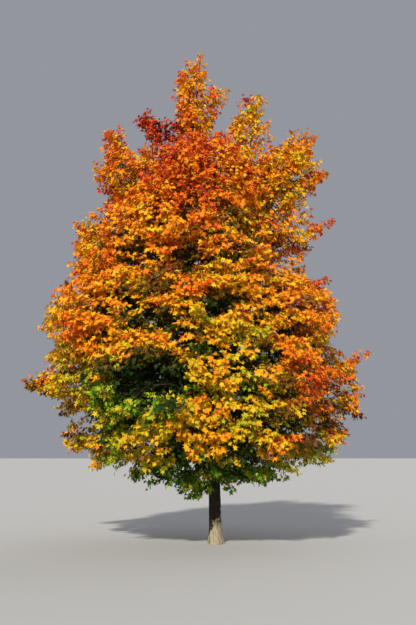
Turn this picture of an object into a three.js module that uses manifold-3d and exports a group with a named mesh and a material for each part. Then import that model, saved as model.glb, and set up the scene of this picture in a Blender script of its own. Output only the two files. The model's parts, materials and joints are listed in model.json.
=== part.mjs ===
// A broad, upright maple in autumn leaf, about nine and a half metres tall, standing on level ground.
// Millimetres, +Z up, the origin at the middle of the flat cut under the trunk.
// +X is the right-hand side of the tree as it is usually looked at, and -Y is the side towards the onlooker.
//
// The tree is a trunk with a root flare that forks at about half its height into four leaders,
// side boughs that leave the trunk and the leaders all round, and a crown of separate masses of foliage
// in four tiers under a group of pointed tops. The masses meet face to face with a small gap, and leave
// an open heart round the trunk, where the boughs cross from the wood to the leaves.

import * as THREE from "three";
import { mergeVertices } from "three/addons/utils/BufferGeometryUtils.js";
import Module from "manifold-3d";

const wasm = await Module();
wasm.setup();

// ---------------------------------------------------------------- driving sizes, mm and degrees
const HEIGHT = 9560; // ground to the tip of the highest shoot
const TRUNK_FORK_Z = 4900; // where the trunk divides into its leaders
const TRUNK_RADIUS = 107; // at knee to breast height
const TRUNK_FOOT_RADIUS = 158; // on the ground, before the root ridges
const TRUNK_FORK_RADIUS = 60;
const ROOT_RIDGES = 5;
const ROOT_RIDGE_DEPTH = 0.15; // share of the radius at ground level
const JOINT_GAP = 0.6; // between touching pieces
const MASS_GAP = 1.0; // between neighbouring masses
const MASS_DETAIL = 2; // subdivisions of a mass's surface
const LIMB_SIDES = 5;
const HEART_SIDES = 9;

// The trunk's line leans a little to the left as it rises.
const TRUNK_LINE = [
  [0, 0, 0],
  [-8, 0, 500],
  [-36, 6, 1350],
  [-120, 16, 2500],
  [-270, 8, 3800],
  [-400, 0, TRUNK_FORK_Z],
];
// Trunk radius at heights above the ground.
const TRUNK_TAPER = [
  [0, TRUNK_FOOT_RADIUS],
  [70, 139],
  [160, 124],
  [320, 113],
  [700, TRUNK_RADIUS],
  [1350, 101],
  [2500, 87],
  [3800, 72],
  [TRUNK_FORK_Z, TRUNK_FORK_RADIUS],
];

// Open heart of the crown round the trunk: height and radius.
const HEART = [
  [500, 330],
  [1300, 470],
  [2400, 560],
  [3800, 500],
  [5000, 400],
  [6000, 290],
  [6650, 60],
];

// The tiers of masses. turn: where the first mass stands, counter-clockwise from +X. at: height of the middles.
// out: distance of the middles from the trunk's line, as a share of the crown's reach there.
// deep, wide, tall: half sizes, as shares of the reach, of the share of the circle, and in mm. rise: how far under the
// middle the bough leaves the trunk, as a share of its way out.
const TIERS = [
  { name: "skirt", count: 5, turn: 20, at: 1900, out: 0.56, deep: 0.44, wide: 1.2, tall: 620, droop: 60, rise: 0.26, radius: 34, seed: 11 },
  { name: "low", count: 6, turn: 2, at: 2900, out: 0.59, deep: 0.42, wide: 1.2, tall: 780, droop: 150, rise: 0.44, radius: 42, seed: 23 },
  { name: "middle", count: 6, turn: 33, at: 4180, out: 0.58, deep: 0.43, wide: 1.16, tall: 820, droop: 150, rise: 0.6, radius: 38, seed: 37 },
  { name: "upper", count: 5, turn: 0, at: 5480, out: 0.57, deep: 0.43, wide: 1.16, tall: 840, droop: 110, rise: 0.66, radius: 30, seed: 53 },
];

// How far the crown reaches from the trunk's line, at heights: to the right, to the left, and front and back.
const REACH = [
  [1200, 1700, 2000, 1850],
  [1700, 2250, 2600, 2420],
  [2300, 2760, 2900, 2850],
  [3000, 2880, 3500, 3150],
  [3500, 2820, 3200, 3050],
  [4200, 2740, 2980, 2850],
  [4900, 2530, 2700, 2600],
  [5400, 2200, 2420, 2400],
  [5900, 2330, 2330, 2300],
  [6600, 2150, 1850, 2000],
];

// The pointed tops above the tiers: middle, half sizes, and how fast each narrows upwards.
const TOPS = [
  { name: "top", at: [-440, 0, 8150], half: [470, 450, 1120], narrow: 0.5, seed: 71 },
  { name: "right_spire", at: [640, -120, 7560], half: [500, 520, 1000], narrow: 0.42, seed: 73 },
  { name: "right_high", at: [1400, -60, 6980], half: [640, 680, 800], narrow: 0.2, seed: 79 },
  { name: "left_spire", at: [-1190, -160, 7420], half: [470, 520, 860], narrow: 0.4, seed: 83 },
  { name: "left_high", at: [-1780, 60, 7000], half: [480, 680, 880], narrow: 0.15, seed: 89 },
  { name: "front_high", at: [-300, -960, 6780], half: [960, 640, 780], narrow: 0.3, seed: 97 },
  { name: "back_high", at: [-520, 1000, 6960], half: [900, 640, 900], narrow: 0.35, seed: 101 },
  { name: "back_right_high", at: [640, 960, 6760], half: [620, 620, 780], narrow: 0.3, seed: 103 },
];

// Masses that differ from the rest of their tier: how much higher the middle is, and its height and depth as shares.
const OWN_SHAPE = {
  skirt_1: { up: 130, tall: 0.84, deep: 0.97 },
  skirt_3: { up: 50, tall: 0.94, deep: 1 },
  low_4: { up: 130, tall: 0.8, deep: 1 },
  low_1: { up: 0, tall: 0.95, deep: 1 },
  upper_1: { up: 60, tall: 1, deep: 0.94 },
};

// The furthest tips of the crown, each on the mass that carries it: mass, point, and how slim the tip is.
const TIPS = [
  ["top", [-290, 0, HEIGHT], 60],
  ["top", [-700, -60, 9150], 26],
  ["top", [240, -30, 8780], 30],
  ["right_spire", [850, -120, 8650], 45],
  ["right_high", [1530, -60, 7920], 40],
  ["right_high", [1930, -80, 7800], 60],
  ["right_high", [2210, -60, 7030], 90],
  ["left_spire", [-1330, -160, 8340], 40],
  ["left_high", [-1890, 60, 8080], 30],
  ["left_high", [-2180, 60, 7960], 38],
  ["left_high", [-2310, 60, 7150], 30],
  ["back_high", [-700, 1050, 8180], 30],
  ["upper_1", [2330, -60, 6050], 120],
  ["low_1", [2930, -40, 3540], 44],
  ["low_1", [2720, 0, 2620], 16],
  ["low_1", [2690, -100, 2360], 30],
  ["low_4", [-3690, -60, 3000], 26],
  ["low_4", [-2940, -60, 2330], 30],
  ["middle_3", [-3160, 0, 4640], 26],
  ["middle_4", [-3240, -300, 4080], 24],
  ["upper_3", [-2770, 0, 6080], 36],
  ["upper_3", [-2850, 0, 5240], 26],
  ["skirt_4", [-290, -560, 800], 22],
  ["skirt_5", [860, -620, 1060], 24],
  ["skirt_1", [700, 560, 1050], 24],
  ["skirt_3", [-1450, -300, 1120], 24],
  ["skirt_3", [-2900, 0, 1990], 30],
  ["skirt_3", [-2760, -100, 1760], 34],
  ["skirt_1", [2530, 260, 2060], 24],
  ["skirt_5", [2440, -420, 2040], 24],
  ["middle_6", [2300, -300, 4800], 40],
  ["middle_1", [2330, 200, 4780], 30],
];

// Leaders from the fork: the line each follows, and its radii at foot and tip. The last point lies inside the mass it feeds.
const LEADERS = [
  { name: "leader_top", line: [[-395, 0, 4780], [-440, -10, 5500], [-470, 0, 6500], [-440, 0, 7900]], radius: [44, 15] },
  { name: "leader_left", line: [[-400, 0, 4760], [-560, -50, 5350], [-860, -110, 6200], [-1190, -160, 7200]], radius: [36, 13] },
  { name: "leader_right", line: [[-395, 0, 4740], [-190, -40, 5330], [240, -90, 6280], [620, -120, 7300]], radius: [36, 13] },
  { name: "leader_back", line: [[-400, 0, 4720], [-400, 210, 5330], [-470, 560, 6100], [-520, 980, 6900]], radius: [32, 12] },
];
// Side boughs of the leaders: leader, how far along it, the mass it feeds, and its radii.
const LEADER_BOUGHS = [
  ["leader_right", 0.42, "right_high", [22, 10]],
  ["leader_left", 0.4, "left_high", [22, 10]],
  ["leader_top", 0.36, "front_high", [22, 10]],
];

const BARK = { color: 0x7d766a, roughness: 0.9, metalness: 0 };
const LEAF_COLOURS = { skirt: 0xb9a51f, low: 0xe0801a, middle: 0xe58a14, upper: 0xdd6a14, high: 0xd65216 };

// ---------------------------------------------------------------- helpers
const rad = THREE.MathUtils.degToRad;
const vec = (p) => new THREE.Vector3(...p);

// A table of [at, value, value...] rows read at a height.
function read(table, at, column = 1) {
  if (at <= table[0][0]) return table[0][column];
  for (let i = 1; i < table.length; i++)
    if (at <= table[i][0]) {
      const [a, b] = [table[i - 1], table[i]];
      return THREE.MathUtils.lerp(a[column], b[column], (at - a[0]) / (b[0] - a[0]));
    }
  return table[table.length - 1][column];
}

// The same number in 0..1 for the same seed and index, every time.
function chance(seed, i = 0) {
  let t = (Math.imul(seed, 0x9e3779b1) + Math.imul(i + 1, 0x85ebca6b)) >>> 0;
  t = Math.imul(t ^ (t >>> 15), 0x2c1b3c6d);
  t = Math.imul(t ^ (t >>> 12), 0x297a2d39);
  return ((t ^ (t >>> 15)) >>> 0) / 4294967296;
}

// Smooth unevenness over directions, about -1..1: a few waves at seeded slants.
function lumps(d, seed) {
  let sum = 0;
  for (let k = 0; k < 7; k++) {
    const a = chance(seed, 3 * k) * Math.PI * 2,
      c = chance(seed, 3 * k + 1) * 2 - 1,
      s = Math.sqrt(1 - c * c),
      f = 2.1 + k * 0.62;
    sum += Math.sin(f * (d.x * s * Math.cos(a) + d.y * s * Math.sin(a) + d.z * c) + 6.283 * chance(seed, 3 * k + 2)) / (1 + 0.22 * k);
  }
  return sum / 3.2;
}

// A geometry as a solid, and a solid as a geometry.
function solid(geometry) {
  const g = geometry.clone();
  g.deleteAttribute("normal");
  g.deleteAttribute("uv");
  const m = mergeVertices(g, 1e-3);
  return new wasm.Manifold(new wasm.Mesh({ numProp: 3, vertProperties: new Float32Array(m.attributes.position.array), triVerts: new Uint32Array(m.index.array) }));
}
function geometryOf(s) {
  const m = s.getMesh();
  const v = new Float32Array(m.numVert * 3);
  for (let i = 0; i < m.numVert; i++) v.set(m.vertProperties.subarray(i * m.numProp, i * m.numProp + 3), i * 3);
  const g = new THREE.BufferGeometry();
  g.setAttribute("position", new THREE.BufferAttribute(v, 3));
  g.setIndex(new THREE.BufferAttribute(new Uint32Array(m.triVerts), 1));
  g.computeVertexNormals();
  return g;
}
const biggest = (s) => s.decompose().sort((a, b) => b.volume() - a.volume())[0];

// A round tapering limb along a smooth line. radiusAt(t, height) gives the radius, shape(angle, t) its unevenness.
function limb(line, radiusAt, sides, steps, shape = () => 1, spacing = (t) => t) {
  const curve = new THREE.CatmullRomCurve3(line.map(vec), false, "centripetal");
  const g = new THREE.CylinderGeometry(1, 1, 1, sides, steps);
  const p = g.attributes.position,
    side = new THREE.Vector3(),
    other = new THREE.Vector3();
  for (let i = 0; i < p.count; i++) {
    const t = spacing(THREE.MathUtils.clamp(p.getY(i) + 0.5, 0, 1)),
      at = curve.getPoint(t),
      way = curve.getTangent(t);
    if (t === 0 && line[0][2] === 0) way.set(0, 0, 1); // the flat cut on the ground
    side.set(1, 0, 0).addScaledVector(way, -way.x).normalize();
    if (Math.abs(way.x) > 0.9) side.set(0, 1, 0).addScaledVector(way, -way.y).normalize();
    other.crossVectors(way, side);
    const x = p.getZ(i),
      y = p.getX(i);
    const r = Math.hypot(x, y) < 1e-6 ? 0 : radiusAt(t, at.z) * shape(Math.atan2(y, x), t, at.z);
    const a = Math.atan2(y, x);
    at.addScaledVector(side, r * Math.cos(a)).addScaledVector(other, r * Math.sin(a));
    p.setXYZ(i, at.x, at.y, at.z);
  }
  const s = solid(g);
  return s;
}

// The same line, its last point moved on a little.
function lengthened(line, by) {
  const [a, b] = line.slice(-2).map(vec);
  return by ? [...line.slice(0, -1), b.clone().add(b.clone().sub(a).setLength(by)).toArray()] : line;
}

// ---------------------------------------------------------------- wood
const trunkShape = (a, t, z) =>
  1 + ROOT_RIDGE_DEPTH * Math.exp(-z / 110) * Math.cos(ROOT_RIDGES * a + 0.7) + 0.03 * Math.sin(2 * a + z / 700) + 0.015 * Math.sin(3 * a - z / 400);
const trunkOf = (grow) => limb(lengthened(TRUNK_LINE, grow), (t, z) => read(TRUNK_TAPER, z) + grow, 15, 11, trunkShape, (t) => t * t * 0.55 + t * 0.45);
const trunk = trunkOf(0),
  trunkRoom = trunkOf(JOINT_GAP);

const trunkCurve = new THREE.CatmullRomCurve3(TRUNK_LINE.map(vec), false, "centripetal");
function trunkAt(z) {
  let [a, b] = [0, 1];
  for (let i = 0; i < 30; i++) {
    const m = (a + b) / 2;
    if (trunkCurve.getPoint(m).z < z) a = m;
    else b = m;
  }
  return trunkCurve.getPoint((a + b) / 2);
}
// The middle line of the crown at a height: the trunk's, and above it the top leader's.
const heartAt = (z) => (z < TRUNK_FORK_Z ? trunkAt(z) : new THREE.Vector3(-400 - (z - TRUNK_FORK_Z) * 0.02, 0, z));

const made = new Map(); // name: { solid, room, kind }
made.set("trunk", { solid: trunk, room: trunkRoom, kind: "wood" });
const leaderCurves = new Map();
const rawLeaders = LEADERS.map((l) => {
  leaderCurves.set(l.name, new THREE.CatmullRomCurve3(l.line.map(vec), false, "centripetal"));
  const of = (grow) => limb(lengthened(l.line, grow), (t) => THREE.MathUtils.lerp(l.radius[0], l.radius[1], t) + grow, LIMB_SIDES, 6);
  return { ...l, raw: of(0), room: of(JOINT_GAP) };
});

// ---------------------------------------------------------------- masses of foliage
const heart = (grow) => {
  const rows = HEART.map(([z, r]) => new THREE.Vector2(Math.max(r + grow, 1), z));
  const profile = [new THREE.Vector2(0, HEART[0][0]), ...rows, new THREE.Vector2(0, HEART[HEART.length - 1][0] + 40)];
  const g = new THREE.LatheGeometry(profile, HEART_SIDES).rotateX(Math.PI / 2);
  const p = g.attributes.position;
  for (let i = 0; i < p.count; i++) {
    const c = heartAt(p.getZ(i));
    p.setXYZ(i, p.getX(i) + c.x, p.getY(i) + c.y, p.getZ(i));
  }
  return solid(g);
};

// The reach of the crown from its middle line at a height and a turn.
function reach(z, turn) {
  const c = Math.cos(turn),
    s = Math.sin(turn);
  const across = read(REACH, z, c > 0 ? 1 : 2),
    along = read(REACH, z, 3);
  return 1 / Math.hypot(c / across, s / along);
}

// Every mass: its middle, its own directions (out, sideways), half sizes, and the tips it carries.
const masses = [];
for (const tier of TIERS)
  for (let i = 0; i < tier.count; i++) {
    const seed = tier.seed + 7 * i,
      turn = rad(tier.turn + (360 * i) / tier.count + 10 * (chance(seed) - 0.5));
    const z = tier.at + 240 * (chance(seed, 1) - 0.5),
      r = reach(z, turn),
      c = heartAt(z),
      own = OWN_SHAPE[`${tier.name}_${i + 1}`] ?? { up: 0, tall: 1, deep: 1 };
    const share = (2 * Math.PI) / tier.count;
    masses.push({
      name: `${tier.name}_${i + 1}`,
      tier,
      seed,
      turn,
      at: new THREE.Vector3(c.x + Math.cos(turn) * r * tier.out, c.y + Math.sin(turn) * r * tier.out, z + own.up),
      half: [r * tier.deep * own.deep, r * tier.out * Math.tan(share / 2) * tier.wide, tier.tall * own.tall * (0.92 + 0.16 * chance(seed, 2))],
      droop: tier.droop,
      narrow: 0,
    });
  }
for (const t of TOPS) masses.push({ name: t.name, seed: t.seed, turn: 0, at: vec(t.at), half: t.half, droop: 0, narrow: t.narrow });

for (const m of masses) m.tips = TIPS.filter(([name]) => name === m.name).map(([, p, slim]) => ({ way: vec(p).sub(m.at), slim }));

// The distance from a mass's middle to its surface in a direction.
function surface(m, d) {
  const c = Math.cos(m.turn),
    s = Math.sin(m.turn);
  const out = d.x * c + d.y * s,
    side = -d.x * s + d.y * c;
  const slim = 1 - m.narrow * Math.max(0, d.z) ** 1.2;
  let r = 1 / Math.hypot(out / m.half[0], side / m.half[1], d.z / m.half[2]);
  r *= THREE.MathUtils.lerp(1, slim, Math.hypot(out, side));
  r *= 1 + 0.15 * lumps(d, m.seed);
  for (const { way, slim: k } of m.tips) {
    const far = way.length(),
      near = d.dot(way) / far;
    const w = Math.exp(-k * (1 - near));
    if (far > r) r += (far - r) * w;
  }
  return r;
}
function blob(m, grow) {
  const g = new THREE.IcosahedronGeometry(1, MASS_DETAIL);
  const p = g.attributes.position,
    d = new THREE.Vector3();
  // Each tip takes the surface's nearest corner, so that the solid reaches it.
  const corners = new Map();
  m.tips.forEach(({ way }, k) => {
    let best = -1,
      at = null;
    for (let i = 0; i < p.count; i++) {
      d.fromBufferAttribute(p, i).normalize();
      const near = d.dot(way) / way.length();
      if (near > best) [best, at] = [near, d.clone()];
    }
    corners.set(at.toArray().map((x) => x.toFixed(4)).join(), way);
  });
  for (let i = 0; i < p.count; i++) {
    d.fromBufferAttribute(p, i).normalize();
    const way = corners.get(d.toArray().map((x) => x.toFixed(4)).join());
    if (way) d.copy(way).normalize();
    const r = (way ? Math.max(way.length(), 1) : surface(m, d)) + grow;
    const sag = way ? 0 : m.droop * Math.max(0, (d.x * Math.cos(m.turn) + d.y * Math.sin(m.turn)) * r / m.half[0]) ** 2 * 0.55;
    p.setXYZ(i, m.at.x + d.x * r, m.at.y + d.y * r, m.at.z + d.z * r - sag);
  }
  return solid(g);
}

// Two masses that would overlap share a flat cut between them.
const cuts = new Map(masses.map((m) => [m.name, []]));
for (let i = 0; i < masses.length; i++)
  for (let j = i + 1; j < masses.length; j++) {
    const [a, b] = [masses[i], masses[j]];
    const way = b.at.clone().sub(a.at),
      far = way.length();
    way.normalize();
    if (far > 4200 || blob(a, MASS_GAP).intersect(blob(b, MASS_GAP)).isEmpty()) continue;
    const ra = surface(a, way),
      rb = surface(b, way.clone().negate());
    const at = THREE.MathUtils.clamp((far + ra - rb) / 2, 0.25 * far, 0.75 * far);
    const offset = a.at.dot(way) + at;
    cuts.get(a.name).push([way.clone().negate(), -offset]);
    cuts.get(b.name).push([way.clone(), offset]);
  }
function massOf(m, grow) {
  let s = blob(m, grow);
  for (const [n, offset] of cuts.get(m.name)) s = s.trimByPlane(n.toArray(), offset + MASS_GAP / 2 - grow);
  s = s.subtract(heart(-grow));
  return s;
}
const own = { top: "leader_top", left_spire: "leader_left", right_spire: "leader_right", back_high: "leader_back" };
for (const m of masses) {
  let s = massOf(m, 0);
  for (const l of rawLeaders) if (own[m.name] !== l.name) s = s.subtract(l.room);
  made.set(m.name, { solid: biggest(s), room: massOf(m, JOINT_GAP), kind: "foliage", mass: m });
}

// ---------------------------------------------------------------- leaders and boughs
const nearestTo = (s, point) => {
  const parts = s.decompose();
  const gap = (b) => {
    const box = b.boundingBox();
    return Math.hypot(...[0, 1, 2].map((k) => Math.max(box.min[k] - point[k], 0, point[k] - box.max[k])));
  };
  return parts.sort((a, b) => gap(a) - gap(b) || b.volume() - a.volume())[0];
};
const earlier = [];
for (const l of rawLeaders) {
  let s = l.raw.subtract(trunkRoom);
  for (const e of earlier) s = s.subtract(e.room);
  for (const [name, x] of made) if (x.kind === "foliage" && own[name] === l.name) s = s.subtract(x.room);
  s = nearestTo(s, l.line[1]);
  made.set(l.name, { solid: s, room: l.room, kind: "wood" });
  earlier.push(l);
}

function addBough(name, line, radius, mass, foot) {
  const of = (grow) => limb(lengthened(line, grow), (t) => THREE.MathUtils.lerp(radius[0], radius[1], t) + grow, LIMB_SIDES, 3);
  let s = of(0).subtract(trunkRoom);
  for (const e of earlier) s = s.subtract(e.room);
  for (const x of made.values()) if (x.kind === "foliage") s = s.subtract(x.room);
  if (s.isEmpty()) return;
  s = nearestTo(s, foot);
  made.set(name, { solid: s, kind: "wood" });
  earlier.push({ name, room: of(JOINT_GAP) });
}
for (const m of masses.filter((x) => x.tier)) {
  const c0 = heartAt(m.at.z),
    outward = Math.hypot(m.at.x - c0.x, m.at.y - c0.y);
  const z0 = m.at.z - m.tier.rise * outward,
    foot = z0 < TRUNK_FORK_Z ? trunkAt(z0) : heartAt(z0);
  const knee = foot.clone().lerp(m.at, 0.42);
  knee.z -= 0.06 * outward;
  const aim = m.at.clone();
  addBough(`bough_${m.name}`, [foot.toArray(), knee.toArray(), aim.toArray()], [m.tier.radius, m.tier.radius * 0.5], m, foot.clone().lerp(knee, 0.35).toArray());
}
for (const [leader, t, target, radius] of LEADER_BOUGHS) {
  const foot = leaderCurves.get(leader).getPoint(t),
    m = masses.find((x) => x.name === target);
  const knee = foot.clone().lerp(m.at, 0.45);
  knee.z -= 60;
  addBough(`bough_${target}`, [foot.toArray(), knee.toArray(), m.at.toArray()], radius, m, foot.clone().lerp(knee, 0.3).toArray());
}

// ---------------------------------------------------------------- the tree
const tree = new THREE.Group();
for (const [name, { solid: s, kind, mass }] of made) {
  const colour = kind === "wood" ? BARK : { color: LEAF_COLOURS[mass.tier ? mass.tier.name : "high"], roughness: 0.6, metalness: 0 };
  const mesh = new THREE.Mesh(geometryOf(s), new THREE.MeshStandardMaterial(colour));
  mesh.name = kind === "foliage" ? `foliage_${name}` : name;
  tree.add(mesh);
}
export default tree;
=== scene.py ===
"""Looks of a broad maple in autumn leaf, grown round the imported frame.

The wood keeps the lines and radii of the frame's trunk, leaders and boughs. From each bough a seeded rule grows
branches into its mass of foliage: fans of twigs in drooping plates in the tiers, upright shoots in the pointed tops.
Each twig ends in a spray of lobed leaves, and each spray has its own autumn tint.
Metres, +Z up, +X right, -Y towards the onlooker.
"""

import json
import math

import bpy
import numpy as np
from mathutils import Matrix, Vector
from mathutils.bvhtree import BVHTree

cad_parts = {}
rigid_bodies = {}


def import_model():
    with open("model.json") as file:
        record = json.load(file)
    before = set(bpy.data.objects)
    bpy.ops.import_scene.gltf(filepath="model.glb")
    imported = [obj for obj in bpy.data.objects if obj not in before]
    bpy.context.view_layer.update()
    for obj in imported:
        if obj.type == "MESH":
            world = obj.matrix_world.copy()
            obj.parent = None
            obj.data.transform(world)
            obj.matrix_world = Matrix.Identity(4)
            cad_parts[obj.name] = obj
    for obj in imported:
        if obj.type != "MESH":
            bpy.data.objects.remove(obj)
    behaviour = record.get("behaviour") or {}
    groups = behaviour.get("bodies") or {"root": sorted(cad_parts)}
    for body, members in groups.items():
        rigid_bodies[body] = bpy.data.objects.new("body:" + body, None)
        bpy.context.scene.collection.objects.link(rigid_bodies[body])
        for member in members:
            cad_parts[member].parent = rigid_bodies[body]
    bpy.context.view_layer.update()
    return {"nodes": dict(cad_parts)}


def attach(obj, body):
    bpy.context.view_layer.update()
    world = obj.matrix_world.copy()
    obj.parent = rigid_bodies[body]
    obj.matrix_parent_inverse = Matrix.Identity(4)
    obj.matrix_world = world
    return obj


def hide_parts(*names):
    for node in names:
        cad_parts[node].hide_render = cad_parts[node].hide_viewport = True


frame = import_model()
rng = np.random.default_rng(20241)
UP = np.array([0.0, 0.0, 1.0])

# ------------------------------------------------------------------ the frame's driving sizes, in millimetres
TRUNK_FORK_Z = 4900
TRUNK_LINE = [[0, 0, 0], [-8, 0, 500], [-36, 6, 1350], [-120, 16, 2500], [-270, 8, 3800], [-400, 0, 4900]]
TRUNK_TAPER = [[0, 158], [70, 139], [160, 124], [320, 113], [700, 107], [1350, 101], [2500, 87], [3800, 72], [4900, 60]]
ROOT_RIDGES = 5
ROOT_RIDGE_DEPTH = 0.15
TIERS = [
    dict(name="skirt", count=5, turn=20, at=1900, out=0.56, rise=0.26, radius=34, seed=11),
    dict(name="low", count=6, turn=2, at=2900, out=0.59, rise=0.44, radius=42, seed=23),
    dict(name="middle", count=6, turn=33, at=4180, out=0.58, rise=0.6, radius=38, seed=37),
    dict(name="upper", count=5, turn=0, at=5480, out=0.57, rise=0.66, radius=30, seed=53),
]
RAISED = {"skirt_1": 130, "skirt_3": 50, "low_4": 130, "upper_1": 60}
REACH = [
    [1200, 1700, 2000, 1850],
    [1700, 2250, 2600, 2420],
    [2300, 2760, 2900, 2850],
    [3000, 2880, 3500, 3150],
    [3500, 2820, 3200, 3050],
    [4200, 2740, 2980, 2850],
    [4900, 2530, 2700, 2600],
    [5400, 2200, 2420, 2400],
    [5900, 2330, 2330, 2300],
    [6600, 2150, 1850, 2000],
]
TOPS = {
    "top": [-440, 0, 8150],
    "right_spire": [640, -120, 7560],
    "right_high": [1400, -60, 6980],
    "left_spire": [-1190, -160, 7420],
    "left_high": [-1780, 60, 7000],
    "front_high": [-300, -960, 6780],
    "back_high": [-520, 1000, 6960],
    "back_right_high": [640, 960, 6760],
}
LEADERS = {
    "leader_top": ([[-395, 0, 4780], [-440, -10, 5500], [-470, 0, 6500], [-440, 0, 7900]], [44, 15]),
    "leader_left": ([[-400, 0, 4760], [-560, -50, 5350], [-860, -110, 6200], [-1190, -160, 7200]], [36, 13]),
    "leader_right": ([[-395, 0, 4740], [-190, -40, 5330], [240, -90, 6280], [620, -120, 7300]], [36, 13]),
    "leader_back": ([[-400, 0, 4720], [-400, 210, 5330], [-470, 560, 6100], [-520, 980, 6900]], [32, 12]),
}
LEADER_BOUGHS = [
    ("leader_right", 0.42, "right_high", [22, 10]),
    ("leader_left", 0.4, "left_high", [22, 10]),
    ("leader_top", 0.36, "front_high", [22, 10]),
    ("leader_back", 0.5, "back_right_high", [18, 9]),
]
# Open heart of the head round the trunk: height and radius.
HEART = [[1450, 480], [2400, 560], [3800, 500], [5000, 400], [6000, 290], [6650, 60]]
# Where the longest shoots end: mass, tip, and how long a leafy stretch leads up to it.
SHOOTS = [
    ("top", [-290, 0, 9540], 900),
    ("top", [-690, -60, 9140], 520),
    ("top", [230, -30, 8770], 520),
    ("right_spire", [850, -120, 8630], 800),
    ("right_high", [1530, -60, 7900], 560),
    ("right_high", [1920, -80, 7790], 560),
    ("right_high", [2200, -60, 7030], 460),
    ("left_spire", [-1330, -160, 8320], 460),
    ("left_high", [-1890, 60, 8060], 420),
    ("left_high", [-2170, 60, 7950], 560),
    ("left_high", [-2300, 60, 7150], 420),
    ("back_high", [-700, 1050, 8160], 600),
    ("upper_1", [2320, -60, 6050], 600),
    ("low_1", [2920, -40, 3540], 560),
    ("low_1", [2710, 0, 2620], 420),
    ("low_1", [2680, -100, 2360], 420),
    ("low_4", [-3670, -60, 3000], 560),
    ("low_4", [-2930, -60, 2330], 420),
    ("middle_3", [-3150, 0, 4640], 420),
    ("middle_4", [-3230, -300, 4080], 420),
    ("upper_3", [-2760, 0, 6080], 460),
    ("upper_3", [-2840, 0, 5240], 420),
    ("skirt_4", [-290, -560, 810], 620),
    ("skirt_4", [-80, -640, 930], 420),
    ("skirt_5", [860, -620, 1070], 420),
    ("skirt_1", [700, 560, 1060], 420),
    ("skirt_3", [-1450, -300, 1130], 420),
    ("skirt_3", [-2890, 0, 1990], 420),
    ("skirt_3", [-2750, -100, 1770], 420),
    ("skirt_1", [2520, 260, 2060], 380),
    ("skirt_5", [2430, -420, 2040], 380),
]


# ------------------------------------------------------------------ small tools
def read(table, at, column=1):
    t = np.asarray(table, float)
    return np.interp(at, t[:, 0], t[:, column])


def chance(seed, i=0):
    """The frame's own number in 0..1 for a seed and an index."""
    m = 0xFFFFFFFF
    t = (seed * 0x9E3779B1 + (i + 1) * 0x85EBCA6B) & m
    t = ((t ^ (t >> 15)) * 0x2C1B3C6D) & m
    t = ((t ^ (t >> 12)) * 0x297A2D39) & m
    return ((t ^ (t >> 15)) & m) / 4294967296


class Line:
    """A smooth line through points, in metres."""

    def __init__(self, points):
        self.p = np.asarray(points, float)

    def at(self, t):
        p, n = self.p, len(self.p)
        x = min(max(t, 0.0), 1.0) * (n - 1)
        i = min(int(x), n - 2)
        w = x - i
        a = p[i - 1] if i > 0 else 2 * p[0] - p[1]
        b, c = p[i], p[i + 1]
        d = p[i + 2] if i + 2 < n else 2 * p[-1] - p[-2]
        s = [max(np.sum((v - u) ** 2) ** 0.25, 1e-6) for u, v in ((a, b), (b, c), (c, d))]
        t1 = ((b - a) / s[0] - (c - a) / (s[0] + s[1]) + (c - b) / s[1]) * s[1]
        t2 = ((c - b) / s[1] - (d - b) / (s[1] + s[2]) + (d - c) / s[2]) * s[1]
        return b + t1 * w + (-3 * b + 3 * c - 2 * t1 - t2) * w**2 + (2 * b - 2 * c + t1 + t2) * w**3

    def points(self, n):
        return np.array([self.at(t) for t in np.linspace(0, 1, n)])

    def spaced(self, step):
        """Points along the line about a step apart."""
        fine = self.points(12 * len(self.p))
        far = np.concatenate([[0], np.cumsum(np.linalg.norm(np.diff(fine, axis=0), axis=1))])
        n = max(3, int(round(far[-1] / step)) + 1)
        want = np.linspace(0, far[-1], n)
        return np.stack([np.interp(want, far, fine[:, k]) for k in range(3)], 1)


def unit(v):
    v = np.asarray(v, float)
    return v / np.maximum(np.linalg.norm(v, axis=-1, keepdims=True), 1e-9)


def hashed(ix, iy, iz, seed):
    h = (ix * 374761393 + iy * 668265263 + iz * 2147483647 + seed * 974634777) & 0xFFFFFFFF
    h = ((h ^ (h >> 13)) * 1274126177) & 0xFFFFFFFF
    return ((h ^ (h >> 16)) & 0xFFFF) / 65535.0


def noise(x, y, z, seed=0):
    """Smooth noise in 0..1 at many points."""
    x, y, z = np.broadcast_arrays(x, y, z)
    i = [np.floor(v).astype(np.int64) for v in (x, y, z)]
    f = [v - k for v, k in zip((x, y, z), i)]
    f = [v * v * (3 - 2 * v) for v in f]
    out = 0
    for a in (0, 1):
        for b in (0, 1):
            for c in (0, 1):
                w = (f[0] if a else 1 - f[0]) * (f[1] if b else 1 - f[1]) * (f[2] if c else 1 - f[2])
                out = out + w * hashed(i[0] + a, i[1] + b, i[2] + c, seed)
    return out


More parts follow.
